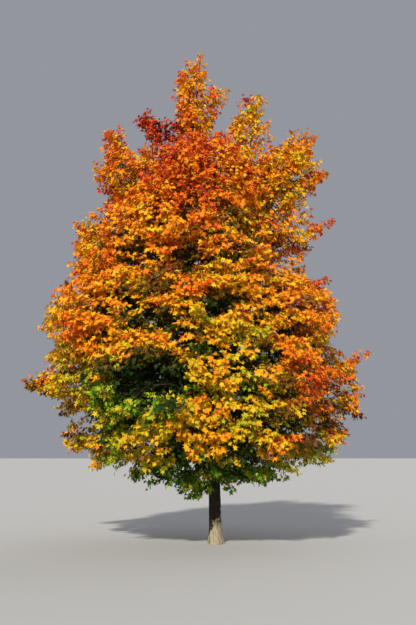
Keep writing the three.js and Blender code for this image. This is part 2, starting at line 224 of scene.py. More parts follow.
class Mesh:
    """Gathers vertices and triangles of one kind."""

    def __init__(self):
        self.v, self.f, self.m, self.n = [], [], [], 0

    def add(self, verts, faces, mats=None):
        verts = np.asarray(verts, float).reshape(-1, 3)
        faces = np.asarray(faces, np.int64).reshape(-1, 3)
        self.v.append(verts)
        self.f.append(faces + self.n)
        self.m.append(np.zeros(len(faces), np.int32) if mats is None else np.asarray(mats, np.int32))
        self.n += len(verts)

    def triangles(self):
        return sum(len(f) for f in self.f)

    def make(self, name, materials, smooth=True):
        v, f, m = np.concatenate(self.v), np.concatenate(self.f), np.concatenate(self.m)
        me = bpy.data.meshes.new(name)
        me.vertices.add(len(v))
        me.vertices.foreach_set("co", v.astype(np.float32).ravel())
        me.loops.add(3 * len(f))
        me.loops.foreach_set("vertex_index", f.astype(np.int32).ravel())
        me.polygons.add(len(f))
        me.polygons.foreach_set("loop_start", np.arange(0, 3 * len(f), 3, dtype=np.int32))
        me.polygons.foreach_set("loop_total", np.full(len(f), 3, np.int32))
        for mat in materials:
            me.materials.append(mat)
        me.polygons.foreach_set("material_index", m)
        me.polygons.foreach_set("use_smooth", np.full(len(f), smooth, bool))
        me.update(calc_edges=True)
        me.validate()
        o = bpy.data.objects.new(name, me)
        bpy.context.scene.collection.objects.link(o)
        return o


def rings(points, radii, sides, relief=None):
    """Rings of a round limb along many points, with a frame that doesn't twist."""
    p = np.asarray(points, float)
    tangent = unit(np.gradient(p, axis=0))
    side = np.zeros_like(p)
    s = np.cross(tangent[0], [0.0, 1.0, 0.0]) if abs(tangent[0][1]) < 0.9 else np.cross(tangent[0], [1.0, 0, 0])
    for i, t in enumerate(tangent):
        s = unit(s - t * np.dot(s, t))
        side[i] = s
    other = np.cross(tangent, side)
    a = np.arange(sides) * 2 * math.pi / sides
    r = np.asarray(radii, float)[:, None] * np.ones(sides)
    if relief is not None:
        r = r + relief(a[None, :], p, np.asarray(radii)[:, None])
    return p[:, None] + r[..., None] * (np.cos(a)[None, :, None] * side[:, None] + np.sin(a)[None, :, None] * other[:, None])


def skin(mesh, ring, tip=None, foot=None):
    """Joins rings into a closed limb: tip and foot are the points that close its ends."""
    n, k = ring.shape[:2]
    v = ring.reshape(-1, 3)
    i, j = np.meshgrid(np.arange(n - 1), np.arange(k), indexing="ij")
    a, b = i * k + j, i * k + (j + 1) % k
    f = [np.stack([a, b, b + k], -1).reshape(-1, 3), np.stack([a, b + k, a + k], -1).reshape(-1, 3)]
    j = np.arange(k)
    if tip is not None:
        v = np.vstack([v, tip])
        f.append(np.stack([(n - 1) * k + j, (n - 1) * k + (j + 1) % k, np.full(k, len(v) - 1)], -1))
    if foot is not None:
        v = np.vstack([v, foot])
        f.append(np.stack([(j + 1) % k, j, np.full(k, len(v) - 1)], -1))
    mesh.add(v, np.vstack(f))


def many_twigs(mesh, points, radii, sides=3):
    """Many slender twigs at once: points (twigs, rows, 3), each closed to its last point."""
    p, r = np.asarray(points, float), np.asarray(radii, float)
    s, k = p.shape[:2]
    if not s:
        return
    tangent = unit(np.gradient(p, axis=1))
    side = unit(np.cross(tangent, UP) + 1e-4)
    other = np.cross(side, tangent)
    a = np.arange(sides) * 2 * math.pi / sides
    ring = p[:, :-1, None] + r[:, :-1, None, None] * (
        np.cos(a)[None, None, :, None] * side[:, :-1, None] + np.sin(a)[None, None, :, None] * other[:, :-1, None]
    )
    per = (k - 1) * sides + 1
    v = np.concatenate([ring.reshape(s, -1, 3), p[:, -1:]], 1)
    f = []
    for i in range(k - 2):
        for j in range(sides):
            a0, b0 = i * sides + j, i * sides + (j + 1) % sides
            f += [[a0, b0, b0 + sides], [a0, b0 + sides, a0 + sides]]
    for j in range(sides):
        f.append([(k - 2) * sides + j, (k - 2) * sides + (j + 1) % sides, per - 1])
    f = np.array(f)[None] + (np.arange(s) * per)[:, None, None]
    mesh.add(v, f)


# ------------------------------------------------------------------ the frame's lines again
trunk_line = Line(np.array(TRUNK_LINE) / 1000)


def trunk_at(z):
    a, b = 0.0, 1.0
    for _ in range(30):
        m = (a + b) / 2
        if trunk_line.at(m)[2] < z:
            a = m
        else:
            b = m
    return trunk_line.at((a + b) / 2)


def heart_at(z):
    """Middle line of the head of leaves at a height."""
    if z < TRUNK_FORK_Z / 1000:
        return trunk_at(max(z, 0))
    return np.array([-0.4 - (z - TRUNK_FORK_Z / 1000) * 0.02, 0.0, z])


HEART_Z = np.linspace(0, 10, 201)
HEART_XY = np.array([heart_at(z)[:2] for z in HEART_Z])


def hearts(z):
    return np.stack([np.interp(z, HEART_Z, HEART_XY[:, 0]), np.interp(z, HEART_Z, HEART_XY[:, 1])], -1)


masses = {}
for tier in TIERS:
    for i in range(tier["count"]):
        name = f"{tier['name']}_{i + 1}"
        seed = tier["seed"] + 7 * i
        turn = math.radians(tier["turn"] + 360 * i / tier["count"] + 10 * (chance(seed) - 0.5))
        z = tier["at"] + 240 * (chance(seed, 1) - 0.5)
        c, s = math.cos(turn), math.sin(turn)
        r = 1 / math.hypot(c / read(REACH, z, 1 if c > 0 else 2), s / read(REACH, z, 3))
        h = heart_at(z / 1000)
        at = np.array([h[0] + c * r * tier["out"] / 1000, h[1] + s * r * tier["out"] / 1000, (z + RAISED.get(name, 0)) / 1000])
        masses[name] = dict(name=name, tier=tier, group=tier["name"], at=at, turn=turn, reach=r / 1000)
for name, at in TOPS.items():
    masses[name] = dict(name=name, tier=None, group="high", at=np.array(at) / 1000.0, turn=0.0)


def mesh_arrays(o):
    n = len(o.data.vertices)
    co = np.zeros(3 * n, np.float32)
    o.data.vertices.foreach_get("co", co)
    o.data.calc_loop_triangles()
    tri = np.zeros(3 * len(o.data.loop_triangles), np.int32)
    o.data.loop_triangles.foreach_get("vertices", tri)
    return co.reshape(-1, 3).astype(float), tri.reshape(-1, 3)


for m in masses.values():
    v, f = mesh_arrays(frame["nodes"]["foliage_" + m["name"]])
    m["tree"] = BVHTree.FromPolygons([Vector(p) for p in v], f.tolist())
    m["lo"], m["hi"] = v.min(0), v.max(0)

# ------------------------------------------------------------------ the head of leaves as a field
# A fine block of places: which mass holds each, and how far it lies under the head's outside (negative: outside it).
STEP = 0.07
LOW = np.array([-4.2, -3.5, 0.35])
SIZE = np.ceil((np.array([3.5, 3.5, 10.05]) - LOW) / STEP).astype(int) + 1
holder = np.full(SIZE, -1, np.int16)
DOWN = Vector((0, 0, -1))
for number, m in enumerate(masses.values()):
    i0 = np.floor((m["lo"] - LOW) / STEP).astype(int)
    i1 = np.ceil((m["hi"] - LOW) / STEP).astype(int)
    for i in range(i0[0], i1[0] + 1):
        for j in range(i0[1], i1[1] + 1):
            x, y = LOW[0] + i * STEP, LOW[1] + j * STEP
            ends, start = [], Vector((x, y, m["hi"][2] + 0.3))
            while len(ends) < 12:
                hit = m["tree"].ray_cast(start, DOWN)[0]
                if hit is None:
                    break
                ends.append(hit[2])
                start = Vector((x, y, hit[2] - 1e-4))
            for top, bottom in zip(ends[::2], ends[1::2]):
                k0, k1 = math.ceil((bottom - LOW[2]) / STEP), math.floor((top - LOW[2]) / STEP)
                holder[i, j, k0 : k1 + 1] = number
GRID = [LOW[k] + np.arange(SIZE[k]) * STEP for k in range(3)]
middle = hearts(GRID[2])
from_heart = np.hypot(GRID[0][:, None, None] - middle[:, 0], GRID[1][None, :, None] - middle[:, 1])
open_r = 0.7 * np.interp(GRID[2], [h[0] / 1000 for h in HEART], [h[1] / 1000 for h in HEART], left=0, right=0)
whole = (holder >= 0) | (from_heart < open_r + STEP)


def spread(far, reach):
    """Squared distance, in steps, to the nearest place that starts at 0: one axis after the other."""
    for axis in range(3):
        far = np.moveaxis(far, axis, 0)
        best = far.copy()
        for k in range(1, reach + 1):
            np.minimum(best[k:], far[:-k] + k * k, out=best[k:])
            np.minimum(best[:-k], far[k:] + k * k, out=best[:-k])
        far = np.moveaxis(best, 0, axis)
    return far


# The underside rises away from the trunk, in front and behind more than at the sides.
ahead = np.abs(GRID[1][None, :, None] - middle[:, 1]) / np.maximum(from_heart, 0.05)
ahead = np.clip((ahead - 0.3) / 0.4, 0, 1)
under_side = 1.56 + 0.55 * (from_heart - 2.0) - 0.6 * (1 - ahead)
cut = (GRID[2] < under_side) & (from_heart > 1.3)
holder[cut] = -1
whole &= ~cut
# Close round the trunk the lowest twigs hang together.
hang = 1.2 + 0.3 * (noise(GRID[0][:, None, None] * 2.6, GRID[1][None, :, None] * 2.6, 0.0, 41) - 0.5)
whole |= (from_heart < 1.3) & (from_heart > 0.14) & (GRID[2] > hang) & (GRID[2] < 1.9)
FAR = np.float32(1e4)
# Below the pointed tops the masses close up: the narrow gaps between them belong to the nearest one.
full = whole
for close, where in ((5, GRID[2] < 6.8), (10, (GRID[2] < 6.6) & (ahead > 0.6))):
    wide = spread(np.where(whole, np.float32(0), FAR), close) <= close * close
    back = spread(np.where(wide, FAR, np.float32(0)), close)
    full = full | ((back > close * close) & where & ~cut)
whole = full
empty = whole & (from_heart >= open_r + STEP)
for _ in range(10):
    for axis in range(3):
        for step in (1, -1):
            other = np.roll(holder, step, axis)
            holder = np.where(empty & (holder < 0) & (other >= 0), other, holder)
under = np.sqrt(spread(np.where(whole, FAR, np.float32(0)), 20)).clip(0, 20) * STEP
beyond = np.sqrt(spread(np.where(whole, np.float32(0), FAR), 6)).clip(0, 6) * STEP
under = (under - beyond + np.where(whole, -0.5, 0.5) * STEP).astype(np.float32)
soft = under.copy()
for _ in range(3):
    for axis in range(3):
        soft = (np.roll(soft, 1, axis) + 2 * soft + np.roll(soft, -1, axis)) / 4
slope = [(-g).astype(np.float32) for g in np.gradient(soft, STEP)]


def look_up(grid, p):
    """The field's value at many points, smooth between its places."""
    q = (np.atleast_2d(p) - LOW) / STEP
    i = np.clip(np.floor(q).astype(int), 0, SIZE - 2)
    f = np.clip(q - i, 0, 1)
    out = 0
    for a in (0, 1):
        for b in (0, 1):
            for c in (0, 1):
                w = (f[:, 0] if a else 1 - f[:, 0]) * (f[:, 1] if b else 1 - f[:, 1]) * (f[:, 2] if c else 1 - f[:, 2])
                out = out + w * grid[i[:, 0] + a, i[:, 1] + b, i[:, 2] + c]
    return out


def depth_of(p):
    return look_up(under, p)


def away(p):
    """The way out of the head at many points."""
    return unit(np.stack([look_up(g, p) for g in slope], -1))


def outward(p):
    """The level way from the trunk's line to many points."""
    p = np.atleast_2d(p)
    h = p[:, :2] - hearts(p[:, 2])
    return unit(np.concatenate([h, np.zeros((len(p), 1))], 1))


# ------------------------------------------------------------------ limbs: the frame's leaders and boughs, grown on
limbs = []  # points and radii
nodes = {name: [] for name in masses}  # mass: places that a branch may leave from: point, way, radius, branch, place along


def grow_limb(points, radius, step=0.055, taper_from=1.0, tip_radius=0.004, mass=None):
    """Samples a limb: radius[0] to radius[1] up to taper_from of its length, then down to tip_radius."""
    p = Line(points).spaced(step)
    far = np.concatenate([[0], np.cumsum(np.linalg.norm(np.diff(p, axis=0), axis=1))])
    t = far / far[-1]
    r = np.interp(t, [0, taper_from, 1.0], [radius[0], radius[1], tip_radius])
    limbs.append((p, r))
    if mass:
        way = unit(np.gradient(p, axis=0))
        first = int(len(p) * 0.12)
        nodes[mass] += [(a, w, b, -1, 0) for a, w, b in zip(p[first:], way[first:], r[first:])]
    return p


leader_lines = {n: Line(np.array(line) / 1000.0) for n, (line, _) in LEADERS.items()}
own = {"leader_top": "top", "leader_left": "left_spire", "leader_right": "right_spire", "leader_back": "back_high"}
main_tip = {"top": [-0.29, 0, 9.4], "left_spire": [-1.33, -0.16, 8.15], "right_spire": [0.85, -0.12, 8.45], "back_high": [-0.7, 1.05, 8.0]}
for n, (line, radius) in LEADERS.items():
    pts = (np.array(line) / 1000.0).tolist()
    tip = np.array(main_tip[own[n]])
    mid = (np.array(pts[-1]) + tip) / 2 + [0.02, -0.02, 0.02]
    length = np.linalg.norm(np.diff(np.array(pts), axis=0), axis=1).sum()
    whole_length = length + np.linalg.norm(tip - pts[-1])
    grow_limb(pts + [mid.tolist(), tip.tolist()], [radius[0] / 1000, radius[1] / 1000], taper_from=length / whole_length, tip_radius=0.003, mass=own[n])

for m in masses.values():
    if not m["tier"]:
        continue
    c0 = heart_at(m["at"][2])
    out = math.hypot(m["at"][0] - c0[0], m["at"][1] - c0[1])
    z0 = m["at"][2] - m["tier"]["rise"] * out
    foot = trunk_at(z0) if z0 < TRUNK_FORK_Z / 1000 else heart_at(z0)
    knee = foot + (m["at"] - foot) * 0.42
    knee[2] -= 0.06 * out
    u = np.array([math.cos(m["turn"]), math.sin(m["turn"]), 0])
    lift = {"skirt": -0.08, "low": -0.02, "middle": 0.06, "upper": 0.14}[m["group"]]
    end = m["at"] + u * m["reach"] * 0.27 + UP * (lift - 0.05)
    r = m["tier"]["radius"] / 1000
    grow_limb([foot, knee, m["at"], end], [r, r * 0.5], taper_from=0.62, tip_radius=0.005, mass=m["name"])
for leader, t, target, radius in LEADER_BOUGHS:
    m = masses[target]
    foot = leader_lines[leader].at(t)
    knee = foot + (m["at"] - foot) * 0.45
    knee[2] -= 0.06
    tip = m["at"] + {"right_high": [0.3, 0, 0.55], "left_high": [-0.2, 0, 0.6], "front_high": [0.05, -0.15, 0.5], "back_right_high": [0.1, 0.15, 0.5]}[target]
    grow_limb([foot, knee, m["at"], tip], [radius[0] / 1000, radius[1] / 1000], taper_from=0.65, tip_radius=0.004, mass=target)

# Where the head is open between its tufts: middle, and how far it reaches across, in and up.
HOLLOWS = [
    ((-1.02, -2.81, 2.80), (0.76, 0.74, 0.40)),
    ((-0.60, -2.76, 2.64), (0.45, 0.66, 0.22)),
    ((1.26, -2.50, 2.60), (0.27, 0.60, 0.17)),
    ((1.48, -1.95, 2.06), (0.39, 0.78, 0.25)),
    ((0.47, -2.80, 2.62), (0.36, 0.72, 0.22)),
    ((-0.20, -2.80, 3.27), (0.21, 0.60, 0.17)),
    ((-1.12, -2.60, 3.82), (0.48, 0.78, 0.21)),
    ((-1.32, -2.42, 4.16), (0.22, 0.54, 0.22)),
    ((0.72, -1.90, 5.44), (0.32, 0.72, 0.27)),
    ((1.30, -2.15, 2.20), (0.22, 0.60, 0.13)),
    ((-0.41, -2.25, 4.95), (0.24, 0.78, 0.40)),
    ((0.00, -2.60, 4.02), (0.32, 0.60, 0.17)),
    ((-2.55, -1.90, 2.50), (0.24, 0.72, 0.16)),
    ((0.49, -1.85, 1.62), (0.18, 0.72, 0.34)),
    ((1.47, -1.30, 1.60), (0.24, 0.72, 0.17)),
    ((0.62, -2.72, 2.86), (0.16, 0.54, 0.13)),
    ((0.88, -2.58, 3.30), (0.28, 0.60, 0.18)),
    ((0.88, -1.72, 5.76), (0.35, 0.60, 0.22)),
    ((0.38, -2.18, 5.00), (0.19, 0.60, 0.20)),
    ((0.24, -1.92, 5.82), (0.24, 0.60, 0.19)),
    ((-2.10, -1.75, 2.00), (0.41, 0.66, 0.15)),
    ((1.90, -1.75, 2.15), (0.35, 0.66, 0.19)),
    ((1.40, -2.38, 2.94), (0.24, 0.60, 0.20)),
    ((-0.46, -1.20, 6.00), (0.12, 1.20, 0.42)),
]
# Where the outline draws in between its tips.
TRIMS = [
    ((1.98, -0.20, 6.42), (0.35, 1.60, 0.30)),
    ((2.16, 0.00, 5.47), (0.30, 1.60, 0.40)),
    ((2.12, 0.00, 7.42), (0.28, 1.20, 0.26)),
    ((-2.32, 0.00, 7.50), (0.34, 1.40, 0.31)),
    ((-0.96, 0.00, 8.90), (0.22, 0.80, 0.32)),
    ((-0.64, 0.00, 9.45), (0.16, 0.80, 0.18)),
    ((-1.60, 0.00, 8.20), (0.13, 0.80, 0.26)),
    ((-3.22, 0.00, 2.60), (0.22, 1.00, 0.15)),
    ((-2.58, 0.00, 1.55), (0.34, 1.00, 0.20)),
    ((2.66, 0.00, 1.66), (0.22, 1.00, 0.16)),
]
# Where leaves crowd: middle, and how far it reaches across, in and up.
CROWDED = [
    ((-0.10, -2.90, 2.93), (0.36, 0.45, 0.17)),
    ((-0.15, -2.60, 2.12), (1.05, 0.55, 0.20)),
    ((-0.43, -2.72, 3.81), (0.25, 0.50, 0.19)),
    ((0.08, -2.50, 4.43), (0.40, 0.45, 0.14)),
    ((0.90, -2.30, 4.38), (0.16, 0.45, 0.27)),
    ((1.20, -2.10, 4.62), (0.40, 0.45, 0.14)),
    ((-0.88, -2.18, 5.25), (0.16, 0.45, 0.17)),
    ((0.71, -2.18, 4.86), (0.16, 0.45, 0.14)),
    ((-1.50, -1.48, 6.28), (0.26, 0.45, 0.20)),
    ((1.00, -2.62, 2.93), (0.17, 0.45, 0.13)),
    ((-1.30, -2.62, 3.46), (0.45, 0.50, 0.14)),
    ((-2.38, -1.95, 3.80), (0.42, 0.50, 0.20)),
    ((1.89, -1.95, 3.34), (0.20, 0.45, 0.25)),
    ((-0.35, -2.40, 1.86), (0.95, 0.55, 0.18)),
    ((-1.60, -1.95, 1.95), (0.50, 0.45, 0.16)),
    ((0.95, -2.40, 3.90), (0.28, 0.45, 0.17)),
    ((0.15, -2.65, 3.71), (0.22, 0.45, 0.13)),
    ((1.55, -1.08, 5.73), (0.25, 0.45, 0.15)),
    ((-2.20, -1.50, 5.06), (0.26, 0.45, 0.22)),
    ((-1.88, -1.35, 5.88), (0.26, 0.45, 0.20)),
]
THROUGH = [
    ((0.76, -3.2, 4.32), (1.08, 3.2, 5.32), 0.10),
    ((0.27, -3.2, 4.02), (0.40, 3.2, 4.86), 0.07),
    # the clefts between the pointed tops
    ((-1.41, -1.2, 7.24), (-1.63, 1.2, 8.12), 0.22),
    ((0.93, -1.2, 7.25), (1.07, 1.2, 8.15), 0.17),
    ((1.39, -1.2, 7.20), (1.61, 1.2, 8.09), 0.13),
    ((0.22, -1.2, 7.79), (0.26, 1.2, 8.76), 0.20),
    ((0.16, -1.2, 7.50), (0.18, 1.2, 8.42), 0.12),
    ((-0.82, -1.2, 7.72), (-0.94, 1.2, 8.69), 0.13),
]
# Where the boughs overhead keep the sun off the leaves: middle, and how far it reaches each way.
SHADY = [
    ((0.62, -1.90, 5.52), (0.52, 0.60, 0.28)),
    ((-1.08, -2.30, 4.45), (0.44, 0.50, 0.24)),
    ((-0.90, -2.75, 2.78), (0.50, 0.60, 0.28)),
    ((2.20, -1.00, 2.27), (0.62, 1.40, 0.31)),
    ((-0.25, -1.60, 1.38), (0.60, 0.55, 0.20)),
    ((0.45, -1.70, 1.58), (0.38, 0.70, 0.26)),
    ((-0.70, -1.15, 1.13), (0.35, 0.45, 0.12)),
    ((0.38, -1.20, 1.20), (0.22, 0.45, 0.16)),
    ((-2.62, -1.30, 2.56), (0.44, 1.10, 0.16)),
    ((-1.20, -2.70, 3.20), (0.42, 0.55, 0.16)),
    ((-1.68, -2.45, 3.07), (0.46, 0.60, 0.19)),
    ((-2.25, -1.40, 1.92), (0.60, 1.10, 0.24)),
    ((1.60, -1.60, 1.86), (0.38, 0.50, 0.18)),
    ((-0.57, -2.80, 2.38), (0.30, 0.45, 0.11)),
    ((0.51, -2.70, 2.70), (0.43, 0.60, 0.20)),
    ((1.34, -2.38, 2.68), (0.40, 0.60, 0.19)),
    ((1.20, -2.30, 2.20), (0.40, 0.50, 0.12)),
    ((0.50, -2.35, 1.87), (0.32, 0.50, 0.14)),
    ((0.95, -1.60, 1.47), (0.28, 0.55, 0.15)),
    ((-0.42, -2.60, 3.50), (0.30, 0.50, 0.14)),
    ((-2.25, -1.70, 2.80), (0.34, 0.80, 0.14)),
]


def turned(rows):
    """The front's open places again on the other sides, each a little moved, at the head's surface."""
    out = []
    for k, angle in enumerate((68, 124, 180, 236, 292)):
        for c, r in rows[k % 2 :: 2]:
            if r[1] > 1:
                continue
            z = c[2] + rng.uniform(-0.3, 0.3)
            mid = heart_at(z)
            t = math.atan2(c[1] - mid[1], c[0] - mid[0]) + math.radians(angle + rng.uniform(-10, 10))
            if math.sin(t) < -0.45 and abs(math.cos(t)) < 0.9:
                continue
            far = np.arange(3.8, 0.4, -0.05)
            line = np.column_stack([mid[0] + far * math.cos(t), mid[1] + far * math.sin(t), np.full(len(far), z)])
            inside = np.nonzero(depth_of(line) > 0.12)[0]
            if len(inside):
                grow = min(1.0, 0.42 / r[0])
                out.append((tuple(line[inside[0]]), (r[0] * grow, r[1], r[2] * max(grow, 0.7)), t))
    return out


HOLLOWS = [(c, r, -math.pi / 2) for c, r in HOLLOWS] + turned(HOLLOWS + TRIMS)
TRIMS = [(c, r, -math.pi / 2) for c, r in TRIMS]
RECESSES = [h for h in HOLLOWS if h[0][2] < 6.9]
CROWDED = [(c, r, -math.pi / 2) for c, r in CROWDED]
SHADY = [(c, r, -math.pi / 2) for c, r in SHADY]


def nearness(p, rows):
    """How near many points are to the nearest of some places: under 1 inside it."""
    p = np.atleast_2d(p)
    out = np.full(len(p), 9.0)
    for c, r, t in rows:
        d = p - np.array(c)
        a, b = d[:, 0] * math.cos(t) + d[:, 1] * math.sin(t), d[:, 1] * math.cos(t) - d[:, 0] * math.sin(t)
        out = np.minimum(out, np.sqrt((b / r[0]) ** 2 + (a / r[1]) ** 2 + (d[:, 2] / r[2]) ** 2))
    return out


def hollow(p):
    """How near many points are to the nearest open place, those that go right through too."""
    p = np.atleast_2d(p)
    out = np.minimum(nearness(p, HOLLOWS), nearness(p, TRIMS))
    for a, b, r in THROUGH:
        a, b = np.array(a), np.array(b)
        t = np.clip((p - a) @ (b - a) / np.dot(b - a, b - a), 0, 1)
        out = np.minimum(out, np.linalg.norm(p - a - t[:, None] * (b - a), axis=1) / r)
    return out


def hanging(p):
    """How far many points belong to the hanging twigs round the trunk, which are still green: 0 to 1."""
    far = np.linalg.norm(p[:, :2] - hearts(p[:, 2]), axis=1)
    return np.clip((1.75 - p[:, 2]) / 0.25, 0, 1) * np.clip((1.45 - far) / 0.3, 0, 1)


def shade_at(p):
    """How far many points lie in the shade of the boughs overhead: 0 to 1."""
    shade = np.maximum(1.6 - nearness(p, SHADY), 0.9 * (1.55 - nearness(p, RECESSES))).clip(0, 1)
    return shade * (1 - np.exp(-nearness(p, CROWDED) ** 2 * 1.5)) * (1 - 0.4 * hanging(p))


# ------------------------------------------------------------------ branches: each bears a tuft of sprays
# Middles of the tufts, far apart from each other, closer together near the head's outside.
sprays = dict(start=[], way=[], foot=[], foot_way=[], branch=[], place=[], mass=[], clump=[], scale=[], free=[])
branches = []  # dict: points, parent branch (-1: a limb), place on it, place of the tuft
ROOM = {"skirt": 0.140, "low": 0.136, "middle": 0.132, "upper": 0.104, "high": 0.043}
BROAD = {"skirt": 1.2, "low": 1.22, "middle": 1.2, "upper": 1.05, "high": 1.0}
FLAT = {"skirt": 2.1, "low": 2.1, "middle": 1.9, "upper": 1.4, "high": 1.0}
names = list(masses)
middles, tufts = np.zeros((0, 3)), []
for number, m in enumerate(masses.values()):
    places = np.argwhere(holder == number)
    spots = LOW + (places + rng.random(places.shape) - 0.5) * STEP
    deep = depth_of(spots)
    bare = hollow(spots)
    keep = (deep > (0.05 if m["group"] == "high" else 0.09)) & (bare > 1)
    spots, deep, bare = spots[keep], deep[keep], bare[keep]
    weight = np.interp(deep, [0.1, 0.55, 1.0, 1.5], [1.0, 1.0, 0.3, 0.22])
    # the walls of an open place are dense
    weight = np.maximum(weight, np.interp(bare, [1.0, 1.1, 1.9, 2.3], [0.6, 1.2, 1.2, 0.0]))
    big = nearness(spots, HOLLOWS[:2])
    weight = np.maximum(weight, np.interp(big, [1.0, 1.1, 1.8, 2.6, 3.4], [0.6, 2.0, 2.0, 1.0, 0.0]))
    weight *= 1 + 1.6 * np.exp(-nearness(spots, CROWDED) ** 2)
    # the slender tops have few leaves one behind another, so these sit closer
    weight *= np.interp(spots[:, 2], [6.6, 7.6, 8.4], [1.0, 1.5, 2.0])
    n = max(3, round(weight.sum() * STEP**3 * 1.12 / ROOM[m["group"]]))
    take = rng.permutation(len(spots))[: 45 * n]
    spots, deep, weight = spots[take], deep[take], weight[take]
    squash = np.array([1, 1, FLAT[m["group"]]])
    close = middles[np.linalg.norm(middles - m["at"], axis=1) < 3.2] if len(middles) else middles
    near = np.full(len(spots), 9.0)
    for c in close:
        near = np.minimum(near, np.linalg.norm((spots - c) * squash, axis=1))
    for _ in range(n):
        k = int(np.argmax(near * weight ** (1 / 3) * rng.uniform(0.85, 1, len(spots))))
        tufts.append((m, spots[k], deep[k]))
        middles = np.vstack([middles, spots[k]])
        near = np.minimum(near, np.linalg.norm((spots - spots[k]) * squash, axis=1))


def put_spray(m, start, way, foot, foot_way, branch, place, clump, scale=1.0, free=False):
    for k, v in zip(sprays, (start, way, foot, foot_way, branch, place, m["name"], clump, scale, free)):
        sprays[k].append(v)


def leave_from(m, target, reach_for=0.7):
    """The best place on a mass's limbs and branches for a branch to target to leave from."""
    rows = m["rows"]
    d = target - rows[:, :3]
    far = np.linalg.norm(d, axis=1)
    turn = 1 - np.einsum("ij,ij->i", d / np.maximum(far, 1e-6)[:, None], rows[:, 3:6])
    cost = far * (1 + reach_for * turn) + (far < 0.06) * 5
    best = np.argsort(cost)[:40]
    # a branch doesn't cross the open air
    for w in (0.25, 0.5, 0.75):
        cost[best] += 4 * np.clip(-depth_of(rows[best, :3] + d[best] * w) - 0.02, 0, 0.5)
    return rows[best[int(np.argmin(cost[best]))]]


def add_branch(m, path, row):
    """Keeps a branch, and lets later ones leave from it."""
    number = len(branches)
    branches.append(dict(points=path, parent=int(row[7]), at=int(row[8]), room=row[6], load=np.zeros(len(path))))
    way = unit(np.gradient(path, axis=0))
    j = np.arange(len(path))
    m["rows"] = np.vstack([m["rows"], np.column_stack([path, way, np.full(len(path), 0.006), np.full(len(path), number), j])[2:]])
    return number, way


for m in masses.values():
    m["rows"] = np.array([[*p, *w, r, b, j] for p, w, r, b, j in nodes[m["name"]]])

TILT = {"skirt": -10, "low": -2, "middle": 9, "upper": 26, "high": 50}
tuft_way = away(np.array([c for _, c, _ in tufts]))
tuft_out = outward(np.array([c for _, c, _ in tufts]))
order = sorted(range(len(tufts)), key=lambda k: (names.index(tufts[k][0]["name"]), np.linalg.norm(tufts[k][0]["rows"][:, :3] - tufts[k][1], axis=1).min()))
for clump, number in enumerate(order):
    m, c, deep = tufts[number]
    high = m["group"] == "high"
    facing = tuft_way[number]
    level = unit(facing * [1, 1, 0] + 1e-6)
    h = unit(tuft_out[number] * 0.7 + level * (0.7 if math.hypot(*facing[:2]) > 0.35 else 0.1))
    a = math.radians(rng.normal(0, 24))
    h = np.array([h[0] * math.cos(a) - h[1] * math.sin(a), h[0] * math.sin(a) + h[1] * math.cos(a), 0])
    tilt = math.radians(TILT[m["group"]] + 20 * facing[2] + rng.normal(0, 12))
    u = h * math.cos(tilt) + UP * math.sin(tilt)
    roll = math.radians(rng.normal(0, 12))
    v = unit(np.cross(UP, h))
    w = np.cross(u, v)
    v, w = v * math.cos(roll) + w * math.sin(roll), w * math.cos(roll) - v * math.sin(roll)
    big = rng.uniform(0.82, 1.22)
    wide = BROAD[m["group"]]
    la, lb = (0.34 * big, 0.25 * big) if high else (0.4 * wide * big, 0.37 * wide * big * rng.uniform(0.8, 1.2))
    thick = rng.uniform(0.06, 0.1) if high else rng.uniform(0.055, 0.1)
    droop = rng.uniform(0.02, 0.07) if high else rng.uniform(0.06, 0.16) * wide
    root = c - u * la * 0.95 - w * 0.03
    row = leave_from(m, root)
    p0, w0 = row[:3], row[3:6]
    gap = np.linalg.norm(root - p0)
    if gap < 0.08:
        line = [p0, c - u * la * 0.3, c + u * la * 0.42 - UP * droop * 0.2]
    else:
        line = [p0, p0 + unit(w0 * 0.5 + (root - p0) / gap) * gap * 0.42, root, c - u * la * 0.2 - w * 0.02, c + u * la * 0.42 - UP * droop * 0.3]
    path = Line(line).spaced(0.095)
    path[2:-1] += rng.normal(0, 0.004, (len(path) - 3, 3))
    branch, way = add_branch(m, path, row)
    along = (path - c) @ u / la
    n = int(round((6.4 if high else 8.6) * (la * lb) / ((0.34 * 0.25) if high else (0.4 * 0.37)) * (1.0 if deep < 0.85 else 0.7)))
    n = max(4, n)
    k = np.arange(n)
    rho, th = np.sqrt((k + 0.5) / n), k * 2.39996 + rng.random() * 6.28
    s = rho * np.cos(th) * 0.66 - 0.12 + rng.normal(0, 0.06, n)
    t = rho * np.sin(th) * 0.8 + rng.normal(0, 0.06, n)
    spot = c + u * (la * s)[:, None] + v * (lb * t)[:, None] + w * (rng.normal(0, thick, n) - droop * 0.6 * t * t)[:, None] - UP * (droop * np.maximum(0, s + 0.3) ** 2)[:, None]
    for q, ss, tt in zip(spot, s, t):
        j = int(np.abs(along - (ss - 0.3 - 0.35 * abs(tt))).argmin())
        j = min(max(j, 2), len(path) - 1)
        fw = way[j]
        go = unit(unit(q - root) * [1, 1, 0.6] + u * 0.3 + facing * 0.18 + rng.normal(0, 0.2, 3) + (UP * 0.22 if high else -UP * 0.1))
        put_spray(m, q, go, path[j], fw, branch, j, clump)

